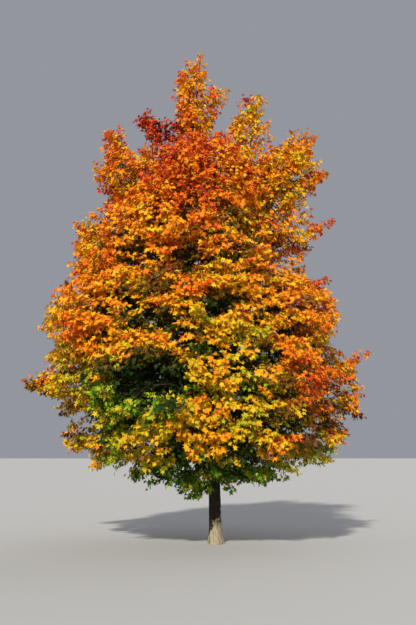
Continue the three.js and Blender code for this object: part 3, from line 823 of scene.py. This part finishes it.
# the longest shoots, which make the head's furthest tips
for name, tip, length in SHOOTS:
    m = masses[name]
    tip = np.array(tip) / 1000.0
    way = unit(tip - m["at"])
    way = unit(way + UP * (0.1 if m["tier"] else 0.4) * (1 if tip[2] > 1.4 else -1))
    start = tip - way * (length / 1000.0)
    row = leave_from(m, start)
    p0, w0 = row[:3], row[3:6]
    gap = np.linalg.norm(start - p0)
    line = [p0, p0 + unit(w0 * 0.5 + (start - p0) / max(gap, 0.01)) * gap * 0.4, start, (start + tip) / 2, tip - way * 0.07]
    path = Line(line).spaced(0.06)
    branch, wy = add_branch(m, path, row)
    clump = 5000 + len(branches)
    left = length / 1000.0 - 0.1
    turn = rng.random() * 6.28
    while left > 0.04:
        p = tip - way * (left + 0.07)
        j = min(max(int(np.linalg.norm(path - p, axis=1).argmin()), 1), len(path) - 1)
        turn += 2.4
        e1 = unit(np.cross(way, UP + [0.01, 0, 0]))
        e2 = np.cross(way, e1)
        side_way = e1 * math.cos(turn) + e2 * math.sin(turn)
        scale = min(0.85, 0.3 + 0.9 * left)
        put_spray(m, p + side_way * 0.03 * scale, unit(way * 0.75 + side_way * 0.75), path[j], wy[j], branch, j, clump, scale, True)
        left -= 0.062
    put_spray(m, tip - way * 0.13, way, path[-1], wy[-1], branch, len(path) - 1, clump, 0.3, True)

S = {k: np.array(v) if k not in ("mass",) else v for k, v in sprays.items()}
total = len(S["start"])
groups = np.array([masses[n]["group"] for n in S["mass"]])
length = rng.uniform(0.16, 0.25, total) * S["scale"]

# Sprays near the outside are drawn back, so that their leaves end where the head does, a little unevenly.
bound = np.where(rng.random(total) < 0.24, rng.uniform(-0.18, -0.04, total), rng.uniform(-0.04, 0.08, total))
loose = ~S["free"].astype(bool)
for _ in range(6):
    end = S["start"] + S["way"] * (length + 0.06)[:, None]
    short = np.where(loose, bound - depth_of(end), 0).clip(0, 0.3)
    over = away(end)
    S["way"] = unit(S["way"] - over * (2.2 * short)[:, None])
    S["start"] = S["start"] - over * (0.45 * short)[:, None]
deep = depth_of(S["start"])
# a spray that would fill an open place isn't there, but for a few
near = hollow(S["start"] + S["way"] * (length * 0.6)[:, None])
stay = (near > 1.0) | (rng.random(total) < 0.10) | S["free"].astype(bool)
S = {k: (v[stay] if isinstance(v, np.ndarray) else [x for x, y in zip(v, stay) if y]) for k, v in S.items()}
total, groups, length, deep, near = int(stay.sum()), groups[stay], length[stay], deep[stay], near[stay]

# ------------------------------------------------------------------ branches' thickness, from what they bear
for b, j in zip(S["branch"], S["place"]):
    branches[int(b)]["load"][int(j)] += 1
for b in reversed(branches):
    b["load"] = np.cumsum(b["load"][::-1])[::-1]
    if b["parent"] >= 0:
        branches[b["parent"]]["load"][b["at"]] += b["load"][0]
for b in branches:
    grow = 0.0023 * np.maximum(b["load"], 1) ** 0.44
    limit = branches[b["parent"]]["radius"][b["at"]] * 0.85 if b["parent"] >= 0 else b["room"] * 0.8
    b["radius"] = np.maximum(np.minimum(grow, max(limit, 0.0022)), 0.0018)

# ------------------------------------------------------------------ autumn tints, dealt out by spray
# Along one scale from green to dark red. Plain colours, given as seen.
TINTS = [
    ("deep_green", (56, 88, 16)),
    ("green", (96, 134, 24)),
    ("yellow_green", (158, 176, 32)),
    ("olive_yellow", (196, 174, 30)),
    ("yellow", (226, 186, 24)),
    ("yellow_gold", (238, 170, 20)),
    ("gold", (238, 150, 18)),
    ("amber", (234, 130, 18)),
    ("orange", (230, 108, 20)),
    ("red_orange", (218, 82, 22)),
    ("scarlet", (196, 54, 24)),
    ("crimson", (144, 32, 24)),
    ("dark_crimson", (88, 22, 22)),
]
# Leaves in the shade of others are darker and duller; each stands for a stretch of the scale, up to the number.
SHADE_TINTS = [
    ("shade_green", (34, 56, 10), 2.8),
    ("shade_olive", (72, 70, 12), 4.6),
    ("shade_gold", (116, 84, 12), 6.4),
    ("shade_brown", (118, 62, 14), 8.6),
    ("shade_red", (92, 30, 14), 99.0),
]
# Where the head's colour differs from its height's: middle, radius, and the place on the scale there.
PATCHES = [
    ((-0.35, 0.0, 9.2), 0.6, 5.0),
    ((0.7, -0.1, 8.1), 0.75, 5.6),
    ((0.05, -0.2, 8.2), 0.42, 3.8),
    ((1.6, -0.1, 7.3), 0.7, 5.8),
    ((-1.25, -0.2, 7.95), 0.42, 10.4),
    ((-2.1, 0.0, 7.4), 0.6, 6.0),
    ((-1.8, -0.7, 6.75), 0.4, 4.4),
    ((-1.45, -0.8, 7.0), 0.42, 5.4),
    ((0.0, -0.9, 7.2), 0.55, 7.6),
    ((-0.4, -1.2, 6.75), 0.6, 9.2),
    ((0.3, -1.5, 6.7), 0.36, 4.4),
    ((-1.7, -1.0, 6.4), 0.6, 6.2),
    ((-1.75, -1.2, 5.9), 0.4, 7.8),
    ((1.6, -0.9, 6.3), 0.7, 4.0),
    ((1.6, -1.2, 5.7), 0.36, 3.4),
    ((0.6, -1.7, 5.7), 0.5, 4.2),
    ((2.4, 0.0, 6.0), 0.4, 8.6),
    ((1.2, -1.6, 5.5), 0.45, 6.6),
    ((2.1, -0.6, 5.1), 0.5, 8.6),
    ((1.7, -1.3, 4.5), 0.6, 6.2),
    ((-0.45, -2.1, 5.0), 0.5, 9.2),
    ((-1.1, -2.1, 5.1), 0.4, 4.6),
    ((0.75, -1.5, 6.1), 0.36, 7.4),
    ((0.05, -2.3, 4.6), 0.4, 6.6),
    ((-2.4, -0.8, 5.2), 0.6, 5.0),
    ((-2.6, -0.9, 4.5), 0.5, 8.0),
    ((-2.0, -1.5, 4.6), 0.4, 8.0),
    ((-2.75, -0.8, 3.65), 0.5, 1.8),
    ((-0.9, -2.2, 4.6), 0.5, 5.4),
    ((-1.25, -2.45, 3.62), 0.5, 6.4),
    ((-0.9, -2.6, 3.9), 0.4, 3.6),
    ((-0.72, -2.6, 3.48), 0.26, 8.0),
    ((-1.85, -2.0, 3.35), 0.42, 6.4),
    ((-3.3, -0.4, 3.05), 0.5, 8.2),
    ((1.8, -1.6, 3.6), 0.5, 6.6),
    ((1.6, -2.1, 3.15), 0.44, 8.0),
    ((2.4, -0.9, 2.85), 0.46, 9.6),
    ((0.9, -2.5, 3.5), 0.3, 2.8),
    ((0.3, -2.7, 3.5), 0.4, 7.2),
    ((1.0, -1.8, 5.0), 0.36, 7.4),
    ((-1.2, -2.6, 3.2), 0.3, 2.2),
    ((1.6, -2.0, 2.85), 0.42, 9.0),
    ((2.3, -1.0, 3.3), 0.36, 3.2),
    ((2.4, -0.8, 2.3), 0.5, 6.4),
    ((0.2, -2.6, 3.0), 0.8, 4.4),
    ((-1.4, -2.1, 2.8), 0.7, 1.0),
    ((-1.1, -2.5, 2.36), 0.5, 1.0),
    ((-2.2, -1.2, 3.9), 0.6, 6.0),
    ((-2.6, -0.7, 2.45), 0.5, 3.1),
    ((-2.6, -0.5, 1.9), 0.4, 6.8),
    ((-1.5, -1.8, 2.0), 0.7, 3.0),
    ((0.0, -2.0, 2.0), 0.7, 5.0),
    ((-0.45, -1.3, 1.32), 0.46, 0.8),
    ((0.45, -1.8, 1.58), 0.5, 0.8),
    ((-0.4, -2.3, 1.9), 0.4, 3.0),
    ((1.8, -1.3, 1.9), 0.3, 3.2),
    ((1.15, -2.0, 1.9), 0.36, 6.4),
    ((-1.3, -2.0, 1.9), 0.4, 4.8),
    ((-0.1, -0.7, 1.2), 0.8, 1.2),
    # the far side
    ((1.6, 1.4, 5.0), 0.9, 8.0),
    ((-0.6, 1.9, 6.3), 0.9, 7.6),
    ((-1.9, 1.7, 4.6), 0.9, 5.6),
    ((0.3, 2.5, 4.2), 0.8, 4.4),
    ((1.8, 1.9, 3.2), 0.9, 7.4),
    ((-1.5, 2.3, 3.1), 0.9, 7.6),
    ((0.2, 2.2, 2.0), 0.9, 4.2),
    ((-2.0, 1.2, 2.0), 0.8, 4.8),
]
BY_HEIGHT = [[0.8, 0.7], [1.3, 1.2], [1.6, 2.6], [1.8, 4.0], [2.2, 4.5], [3.3, 4.8], [4.3, 5.2], [5.3, 6.0], [6.3, 6.3], [7.3, 6.0], [9.6, 5.5]]


def scale_at(p, deep):
    v = read(BY_HEIGHT, p[:, 2])
    pull = np.ones(len(p)) * 0.35
    total = pull * v
    for c, r, value in PATCHES:
        w = 1.6 * np.exp(-(np.sum((p - np.array(c)) ** 2, 1) / (r * r)))
        total += w * value
        pull += w
    v = total / pull
    wide = noise(p[:, 0] * 1.3, p[:, 1] * 1.3, p[:, 2] * 1.7, 6) - 0.5
    v = v + 1.9 * wide
    low = np.clip((6.2 - p[:, 2]) / 3.0, 0, 1)
    v = v - np.clip(deep - 0.3, 0, 1.0) * (1.4 + 3.0 * low) + np.clip(0.16 - deep, 0, 0.16) * 6.0
    # Deep in the walls of an open place the scale is pulled towards the dark greens: partly the greener colour of
    # leaves kept from the sun, partly painted shade of the recess.
    dark = np.clip(1.7 - hollow(p), 0, 1) * np.clip((deep - 0.22) / 0.35, 0, 1) * low
    v = v + (0.9 - v) * np.clip(dark, 0, 0.6)
    return v + (1.2 - v) * hanging(p)


kinds = sorted(set(S["clump"].tolist()))
clump_shift = dict(zip(kinds, rng.normal(0, 0.95, len(kinds))))
calm = 1 - 0.25 * hanging(S["start"])
spray_value = scale_at(S["start"] + S["way"] * 0.1, deep) + calm * (np.array([clump_shift[c] for c in S["clump"].tolist()]) + rng.normal(0, 0.6, total))

# ------------------------------------------------------------------ twigs and leaves
out = unit(outward(S["start"]) * 0.5 + away(S["start"]) * 0.6)
up = unit(UP * 0.9 + out * 0.25 + rng.normal(0, 0.22, (total, 3)))
way = S["way"]
side = unit(np.cross(up, way))
nrm = np.cross(way, side)
sag = rng.uniform(0.1, 0.3, total) * np.where(groups == "high", 0.4, 1.0)


def on_twig(i, f):
    """Points along the sprays' middle twigs."""
    return S["start"][i] + way[i] * (length[i] * f)[:, None] - UP * (sag[i] * length[i] * f * f)[:, None]


# the long twig: from the branch, out to the spray and along it
foot, foot_way = S["foot"], S["foot_way"]
gap = np.linalg.norm(S["start"] - foot, axis=1)
bow = foot + foot_way * (gap * 0.26)[:, None] + (S["start"] - foot) * 0.34
idx = np.arange(total)
rows = np.stack([foot, bow, S["start"] - way * (gap * 0.04)[:, None], on_twig(idx, np.full(total, 0.5)), on_twig(idx, np.ones(total))], 1)
foot_r = np.array([branches[int(b)]["radius"][int(j)] for b, j in zip(S["branch"], S["place"])])
r0 = np.clip(np.minimum(foot_r * 0.85, 0.0016 + 0.003 * gap), 0.0014, 0.004)
radii = np.stack([r0, r0 * 0.85, r0 * 0.65, r0 * 0.42, r0 * 0], 1)

# where the leaves of a spray sit: along its middle twig, on two side twiglets, and at the ends
BLADES = []  # kind (0 middle, 1 left twiglet, 2 right twiglet), place along, side, angle, chance of being there
for f in (0.02, 0.3, 0.58, 0.84):
    for s in (-1, 1):
        BLADES.append((0, f, s, 58, 0.88))
BLADES.append((0, 1.0, 0, 0, 1.0))
for kind in (1, 2):
    BLADES += [(kind, 0.6, -1, 54, 0.85), (kind, 0.6, 1, 54, 0.85), (kind, 1.0, 0, 0, 0.97)]

twiglet_len = length * rng.uniform(0.4, 0.6, total)
twiglet_at = [rng.uniform(0.05, 0.24, total), rng.uniform(0.3, 0.5, total)]
twiglet_way = []
for k, s in ((0, -1), (1, 1)):
    ang = np.radians(rng.uniform(40, 66, total))
    twiglet_way.append(unit(way * np.cos(ang)[:, None] + side * (s * np.sin(ang))[:, None] + nrm * rng.normal(0, 0.3, total)[:, None] - UP * 0.06))

leaf = dict(foot=[], petiole=[], spray=[], ends=[])
for kind, f, s, angle, keep in BLADES:
    there = rng.random(total) < keep * np.where(S["scale"] < 0.55, 0.6, 1.0)
    if f >= 1.0 and kind == 0:
        there[:] = True
    i = np.nonzero(there)[0]
    ff = np.clip(f + rng.normal(0, 0.05, len(i)), 0.0, 1.0) if f < 1 else np.ones(len(i))
    if kind == 0:
        p, w = on_twig(i, ff), way[i]
    else:
        w = twiglet_way[kind - 1][i]
        p = on_twig(i, twiglet_at[kind - 1][i]) + w * (twiglet_len[i] * ff)[:, None]
    sd = unit(np.cross(up[i], w))
    ang = np.radians(angle + rng.normal(0, 12, len(i)))
    lift = np.cross(w, sd)
    pet = unit(w * np.cos(ang)[:, None] + sd * (s * np.sin(ang))[:, None] + lift * rng.normal(0.1, 0.45, len(i))[:, None] + rng.normal(0, 0.1, (len(i), 3)))
    leaf["foot"].append(p)
    leaf["petiole"].append(pet)
    leaf["spray"].append(i)
    leaf["ends"].append(np.full(len(i), f >= 1.0))
L = {k: np.concatenate(v) for k, v in leaf.items()}
size = rng.normal(0.079, 0.011, len(L["foot"])).clip(0.052, 0.11)
size *= np.where(groups[L["spray"]] == "high", 0.95, 1.0) * np.where(L["ends"], 0.9, 1.0) * np.where(S["scale"][L["spray"]] < 0.6, 0.85, 1.0)
# a leaf that would hang far outside the head isn't there
leaf_deep = depth_of(L["foot"] + L["petiole"] * size[:, None])
free = S["free"].astype(bool)[L["spray"]]
held = (leaf_deep > -0.2) | free
# and those that hang the farthest outside are small
size *= np.where(free, 1.0, np.interp(leaf_deep, [-0.2, -0.1], [0.7, 1.0]))
L = {k: v[held] for k, v in L.items()}
size, leaf_deep = size[held], leaf_deep[held]
nl = len(size)
sp = L["spray"]
lgroups = groups[sp]
petiole_len = rng.uniform(0.018, 0.045, nl)
base = L["foot"] + L["petiole"] * petiole_len[:, None]
lo_out = out[sp]
blade = unit(L["petiole"] * 0.75 + lo_out * 0.2 - UP * rng.uniform(0.1, 0.95, nl)[:, None] + rng.normal(0, 0.2, (nl, 3)))
face = unit(UP * 0.55 + lo_out * 0.7 + rng.normal(0, 0.45, (nl, 3)))
across = unit(np.cross(blade, face))
face = np.cross(across, blade)

# one lobed leaf: half outline from the stalk round to the tip, x across and y along, for a blade of length 1
HALF = np.array([[0.42, -0.04], [0.26, 0.2], [0.60, 0.52], [0.2, 0.56]])
shape = np.vstack([[[0.0, 0.0], [0.0, 1.0]], HALF, HALF * [-1, 1]])
BASE, TIP = 0, 1
blade_faces = []
for (l1, s1, l2, s2), flip in (((2, 3, 4, 5), False), ((6, 7, 8, 9), True)):
    for t in ([BASE, l1, s1], [BASE, s1, s2], [s1, l2, s2], [BASE, s2, TIP]):
        blade_faces.append(t[::-1] if flip else t)
blade_faces.append([BASE, 10, 11])
blade_faces = np.array(blade_faces)
# a leaf well inside the head has its three main lobes only
PLAIN_HALF = np.array([[0.56, 0.34], [0.22, 0.54]])
plain_shape = np.vstack([[[0.0, 0.0], [0.0, 1.0]], PLAIN_HALF, PLAIN_HALF * [-1, 1]])
plain_faces = np.array([[BASE, 2, 3], [BASE, 3, TIP], [4, BASE, 5], [5, BASE, TIP], [BASE, 6, 7]])
inner = leaf_deep > 0.27

fold = rng.normal(0.2, 0.16, nl)
curl = rng.normal(0.16, 0.16, nl)
wide = rng.uniform(0.88, 1.1, nl)
skew = rng.normal(0, 0.06, nl)


def blades(which, outline, seed):
    """Vertices of many leaves of one outline, each with the two points of its stalk's foot at the end."""
    jit = np.random.default_rng(seed).normal(0, 0.03, (len(which), len(outline), 2))
    jit[:, 0] = 0
    x = (outline[None, :, 0] + jit[..., 0]) * wide[which, None] + skew[which, None] * outline[None, :, 1]
    y = outline[None, :, 1] + jit[..., 1]
    z = fold[which, None] * np.abs(x) - curl[which, None] * y * y - 0.14 * (np.abs(x) ** 2)
    flat = x[..., None] * across[which, None] + y[..., None] * blade[which, None] + z[..., None] * face[which, None]
    stalk = np.stack([L["foot"][which] - across[which] * 0.0014, L["foot"][which] + across[which] * 0.0014], 1)
    return np.concatenate([base[which, None] + size[which, None, None] * flat, stalk], 1)


value = spray_value[sp] + calm[sp] * rng.normal(0, 1.0, nl)
tint = np.clip(np.round(value), 0, len(TINTS) - 1).astype(int)
shade = len(TINTS) + np.searchsorted([t[2] for t in SHADE_TINTS], value)
sunless = shade_at(S["start"] + S["way"] * 0.1)
inside = np.clip((deep - 0.36) / 0.35, 0, 0.8) * np.interp(S["start"][:, 2], [5.2, 6.6], [1.0, 0.35])
dim = rng.random(total) < np.maximum(inside, 0.85 * sunless)
tint = np.where(dim[sp] & ((leaf_deep > 0.24) | (sunless[sp] > 0.3)), np.minimum(shade, len(TINTS) + len(SHADE_TINTS) - 1), tint)


# ------------------------------------------------------------------ materials
def linear(c):
    c = np.asarray(c, float) / 255
    return tuple(np.where(c <= 0.04045, c / 12.92, ((c + 0.055) / 1.055) ** 2.4)) + (1.0,)


def plain(name, colour, roughness, specular=0.3):
    mat = bpy.data.materials.new(name)
    mat.use_nodes = True
    b = mat.node_tree.nodes["Principled BSDF"]
    b.inputs["Base Color"].default_value = linear(colour)
    b.inputs["Roughness"].default_value = roughness
    b.inputs["Specular IOR Level"].default_value = specular
    return mat


leaf_materials = [plain("leaf_" + t[0], t[1], 0.6, 0.18) for t in TINTS + SHADE_TINTS]
twig_material = plain("twig_bark", (62, 45, 34), 0.8)


def bark(name, light, dark, scale, bump, foot=None):
    """Furrowed bark: long vertical plates, fine grain, a few greenish patches, and, where that is asked, a foot painted
    pale as in sunlight below a painted shadow edge.
    """
    mat = bpy.data.materials.new(name)
    mat.use_nodes = True
    t = mat.node_tree
    b = t.nodes["Principled BSDF"]
    b.inputs["Roughness"].default_value = 0.88
    b.inputs["Specular IOR Level"].default_value = 0.2
    coord = t.nodes.new("ShaderNodeTexCoord")
    stretch = t.nodes.new("ShaderNodeMapping")
    stretch.inputs["Scale"].default_value = (scale, scale, scale * 0.16)
    t.links.new(coord.outputs["Object"], stretch.inputs["Vector"])
    plates = t.nodes.new("ShaderNodeTexNoise")
    plates.inputs["Scale"].default_value = 1.0
    plates.inputs["Detail"].default_value = 6
    plates.inputs["Roughness"].default_value = 0.62
    t.links.new(stretch.outputs["Vector"], plates.inputs["Vector"])
    ramp = t.nodes.new("ShaderNodeValToRGB")
    ramp.color_ramp.elements[0].position = 0.38
    ramp.color_ramp.elements[0].color = linear(dark)
    ramp.color_ramp.elements[1].position = 0.58
    ramp.color_ramp.elements[1].color = linear(light)
    t.links.new(plates.outputs["Fac"], ramp.inputs["Fac"])
    patch = t.nodes.new("ShaderNodeTexNoise")
    patch.inputs["Scale"].default_value = scale * 0.2
    patch.inputs["Detail"].default_value = 3
    t.links.new(coord.outputs["Object"], patch.inputs["Vector"])
    where = t.nodes.new("ShaderNodeValToRGB")
    where.color_ramp.elements[0].position = 0.52
    where.color_ramp.elements[1].position = 0.66
    t.links.new(patch.outputs["Fac"], where.inputs["Fac"])
    mix = t.nodes.new("ShaderNodeMix")
    mix.data_type = "RGBA"
    mix.inputs["B"].default_value = linear((72, 70, 50))
    part = t.nodes.new("ShaderNodeMath")
    part.operation = "MULTIPLY"
    part.inputs[1].default_value = 0.45
    t.links.new(where.outputs["Color"], part.inputs[0])
    t.links.new(part.outputs["Value"], mix.inputs["Factor"])
    t.links.new(ramp.outputs["Color"], mix.inputs["A"])
    t.links.new(mix.outputs["Result"], b.inputs["Base Color"])
    # Painted light: the foot's pale colours stand for sun on the bark. The line above them, slanting with X and
    # wavering with the patches' noise, is a painted shadow edge.
    if foot:
        pale = t.nodes.new("ShaderNodeValToRGB")
        pale.color_ramp.elements[0].position = 0.36
        pale.color_ramp.elements[0].color = linear(foot[1])
        pale.color_ramp.elements[1].position = 0.52
        pale.color_ramp.elements[1].color = linear(foot[0])
        t.links.new(plates.outputs["Fac"], pale.inputs["Fac"])
        axes = t.nodes.new("ShaderNodeSeparateXYZ")
        t.links.new(coord.outputs["Object"], axes.inputs["Vector"])
        shadow_slant = t.nodes.new("ShaderNodeMath")
        shadow_slant.operation = "MULTIPLY_ADD"
        shadow_slant.inputs[1].default_value = -1.2
        t.links.new(axes.outputs["X"], shadow_slant.inputs[0])
        t.links.new(axes.outputs["Z"], shadow_slant.inputs[2])
        painted_shadow_line = t.nodes.new("ShaderNodeMath")
        painted_shadow_line.operation = "MULTIPLY_ADD"
        painted_shadow_line.inputs[1].default_value = 1.3
        t.links.new(patch.outputs["Fac"], painted_shadow_line.inputs[0])
        t.links.new(shadow_slant.outputs["Value"], painted_shadow_line.inputs[2])
        edge = t.nodes.new("ShaderNodeMapRange")
        edge.inputs["From Min"].default_value = 0.99
        edge.inputs["From Max"].default_value = 1.04
        t.links.new(painted_shadow_line.outputs["Value"], edge.inputs["Value"])
        both = t.nodes.new("ShaderNodeMix")
        both.data_type = "RGBA"
        t.links.new(edge.outputs["Result"], both.inputs["Factor"])
        t.links.new(pale.outputs["Color"], both.inputs["A"])
        t.links.new(mix.outputs["Result"], both.inputs["B"])
        t.links.new(both.outputs["Result"], b.inputs["Base Color"])
    relief = t.nodes.new("ShaderNodeBump")
    relief.inputs["Strength"].default_value = bump
    relief.inputs["Distance"].default_value = 0.004
    t.links.new(plates.outputs["Fac"], relief.inputs["Height"])
    t.links.new(relief.outputs["Normal"], b.inputs["Normal"])
    return mat


# The trunk's bark is painted dark for the shade of the head overhead, and its foot is painted pale for the sun that
# reaches under the head.
trunk_bark = bark("trunk_bark", (54, 44, 34), (22, 17, 13), 34.0, 0.7, foot=((172, 160, 132), (96, 86, 68)))
limb_bark = bark("limb_bark", (58, 47, 37), (26, 21, 16), 34.0, 0.6)

# ------------------------------------------------------------------ the trunk, with its bark's relief
SIDES = 64
z_rows = np.concatenate([np.arange(0, 1.7, 0.0062), np.arange(1.7, 4.9, 0.06), [4.9]])
a = np.arange(SIDES) * 2 * math.pi / SIDES
ts = np.linspace(0, 1, 600)
fine = np.array([trunk_line.at(t) for t in ts])
centre = np.stack([np.interp(z_rows, fine[:, 2], fine[:, k]) for k in range(3)], 1)
t_rows = np.interp(z_rows, fine[:, 2], ts)
way_rows = unit(np.array([trunk_line.at(min(t + 0.01, 1)) - trunk_line.at(max(t - 0.01, 0)) for t in t_rows]))
upright = np.exp(-((z_rows / 0.25) ** 2))[:, None]
way_rows = unit(way_rows * (1 - upright) + UP * upright)
side_rows = unit(np.array([1.0, 0, 0]) - way_rows * way_rows[:, :1])
other_rows = np.cross(way_rows, side_rows)
zz, aa = z_rows[:, None], a[None, :]
# the flare's corners are rounded a little between the table's rows
taper = read(TRUNK_TAPER, z_rows * 1000) / 1000
soft = np.convolve(np.pad(taper, 6, mode="edge"), np.ones(13) / 13, mode="valid")
taper = np.where(z_rows < 1.5, np.where(z_rows < 0.02, taper, soft), taper)
shape_r = 1 + ROOT_RIDGE_DEPTH * np.exp(-zz * 1000 / 110) * np.cos(ROOT_RIDGES * aa + 0.7) + 0.03 * np.sin(2 * aa + zz / 0.7) + 0.015 * np.sin(3 * aa - zz / 0.4)
radius = taper[:, None] * shape_r
cx, sx = np.cos(aa) * 0.1, np.sin(aa) * 0.1
warp = 0.03 * (noise(cx * 12, sx * 12, zz * 3.0, 3) - 0.5)
n1 = noise((cx + warp) * 130, (sx + warp) * 130, zz * 9.0, 7)
n2 = noise((cx + warp) * 260, (sx - warp) * 260, zz * 22.0, 8)
n3 = noise(cx * 520, sx * 520, zz * 80.0, 9)
furrow = 1 - np.abs(2 * n1 - 1)
bump = 0.0035 * (0.5 - furrow**2) + 0.0016 * (n2 - 0.5) + 0.0007 * (n3 - 0.5)
bump += 0.006 * (noise(cx * 20, sx * 20, zz * 3.2, 4) - 0.5)
radius = radius + bump
ring = centre[:, None] + radius[..., None] * (np.cos(aa)[..., None] * side_rows[:, None] + np.sin(aa)[..., None] * other_rows[:, None])
ring[0, :, 2] = 0.0
wood = Mesh()
skin(wood, ring, tip=centre[-1] + [0, 0, 0.03], foot=centre[0])
trunk = wood.make("trunk_with_bark", [trunk_bark])

# ------------------------------------------------------------------ limbs and branches
wood = Mesh()
for p, r in limbs:
    if len(p) < 3:
        continue
    k = 10 if r[0] > 0.03 else 8

    def rough(a, q, rr):
        return 0.0012 * (noise(np.cos(a) * 2.2 + q[:, :1] * 9, np.sin(a) * 2.2 + q[:, 1:2] * 9, q[:, 2:3] * 14, 12) - 0.5) * np.minimum(1, rr / 0.015)

    skin(wood, rings(p, r, k, rough), tip=p[-1] + unit(p[-1] - p[-2]) * 0.01)
for b in branches:
    p, r = b["points"], b["radius"]
    skin(wood, rings(p, r, 5 if r[0] > 0.008 else 4), tip=p[-1] + unit(p[-1] - p[-2]) * 0.01)
limb_piece = wood.make("limbs_and_branches", [limb_bark])
print("limb triangles", wood.triangles(), "trunk", len(trunk.data.polygons), "sprays", total, "leaves", nl)

# All but the lowest tier are split in two, so that no piece grows too large.
GROUPS = ["skirt", "low", "middle", "upper", "high"]
at_mass = np.array([names.index(n) for n in S["mass"]])
for g in GROUPS:
    i = np.nonzero(groups == g)[0]
    twigs = Mesh()
    for part, k in ((i[deep[i] <= 0.3], [0, 1, 2, 4]), (i[deep[i] > 0.3], [0, 2, 4])):
        many_twigs(twigs, rows[part][:, k], radii[part][:, k])
    for k in (0, 1):
        foot_k = on_twig(i, twiglet_at[k][i])
        tips = foot_k + twiglet_way[k][i] * twiglet_len[i][:, None]
        many_twigs(twigs, np.stack([foot_k, tips], 1), np.stack([np.full(len(i), 0.0011)] * 2, 1))
    piece = twigs.make("twigs_" + g, [twig_material])
    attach(piece, "root")
    tier_masses = [n for n, m in masses.items() if m["group"] == g]
    half = (len(tier_masses) + 1) // 2
    shares = {"_a": tier_masses[:half], "_b": tier_masses[half:]} if g != "skirt" else {"": tier_masses}
    for mark, share in shares.items():
        j = np.nonzero(np.isin(at_mass[sp], [names.index(n) for n in share]))[0]
        leaves = Mesh()
        for which, outline, faces in ((j[~inner[j]], shape, blade_faces), (j[inner[j]], plain_shape, plain_faces)):
            v = blades(which, outline, 900 + len(which))
            f = faces[None] + (np.arange(len(which)) * v.shape[1])[:, None, None]
            leaves.add(v, f, np.repeat(tint[which], len(faces)))
        piece = leaves.make("leaves_" + g + mark, leaf_materials, smooth=False)
        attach(piece, "root")
        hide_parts(*["foliage_" + n for n in share])
        print(g + mark, "leaves", len(j), "leaf triangles", leaves.triangles())
    print(g, "sprays", len(i), "twig triangles", twigs.triangles())

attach(trunk, "root")
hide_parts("trunk")
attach(limb_piece, "root")
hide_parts(*[n for n in frame["nodes"] if n.startswith(("leader_", "bough_"))])

# ------------------------------------------------------------------ floor, light, camera
floor_mat = bpy.data.materials.new("pale_floor")
floor_mat.use_nodes = True
b = floor_mat.node_tree.nodes["Principled BSDF"]
b.inputs["Base Color"].default_value = (0.53, 0.53, 0.52, 1)
b.inputs["Roughness"].default_value = 0.9
me = bpy.data.meshes.new("floor")
R = 400.0
me.from_pydata([(-R, -R, 0), (R, -R, 0), (R, R, 0), (-R, R, 0)], [], [(0, 1, 2, 3)])
me.materials.append(floor_mat)
floor = bpy.data.objects.new("floor", me)
bpy.context.scene.collection.objects.link(floor)

world = bpy.data.worlds.new("studio")
bpy.context.scene.world = world
world.use_nodes = True
world.node_tree.nodes["Background"].inputs["Color"].default_value = (0.86, 0.9, 1.0, 1)
world.node_tree.nodes["Background"].inputs["Strength"].default_value = 0.34



def sun_light(name, strength, spread_deg, colour, towards):
    data = bpy.data.lights.new(name, "SUN")
    data.energy = strength
    data.angle = math.radians(spread_deg)
    data.color = colour
    o = bpy.data.objects.new(name, data)
    o.rotation_mode = "QUATERNION"
    o.rotation_quaternion = Vector(towards).to_track_quat("-Z", "Y")
    bpy.context.scene.collection.objects.link(o)


sun_light("key", 3.7, 3, (1.0, 0.95, 0.86), (0.16, 0.85, -0.51))
sun_light("fill", 0.5, 60, (0.92, 0.95, 1.0), (-0.5, -0.8, -0.6))

cam_data = bpy.data.cameras.new("view")
cam_data.lens = 50
cam_data.sensor_width = 36
cam_data.clip_end = 2000
cam = bpy.data.objects.new("view", cam_data)
cam.location = (0, -16.3, 1.6)
cam.rotation_euler = (math.radians(90 + 9.32), 0, math.atan((215.6 - 208) / 868.06 * 0.98))
bpy.context.scene.collection.objects.link(cam)
bpy.context.scene.camera = cam
bpy.context.scene.view_settings.view_transform = "Standard"
bpy.context.scene.view_settings.look = "None"
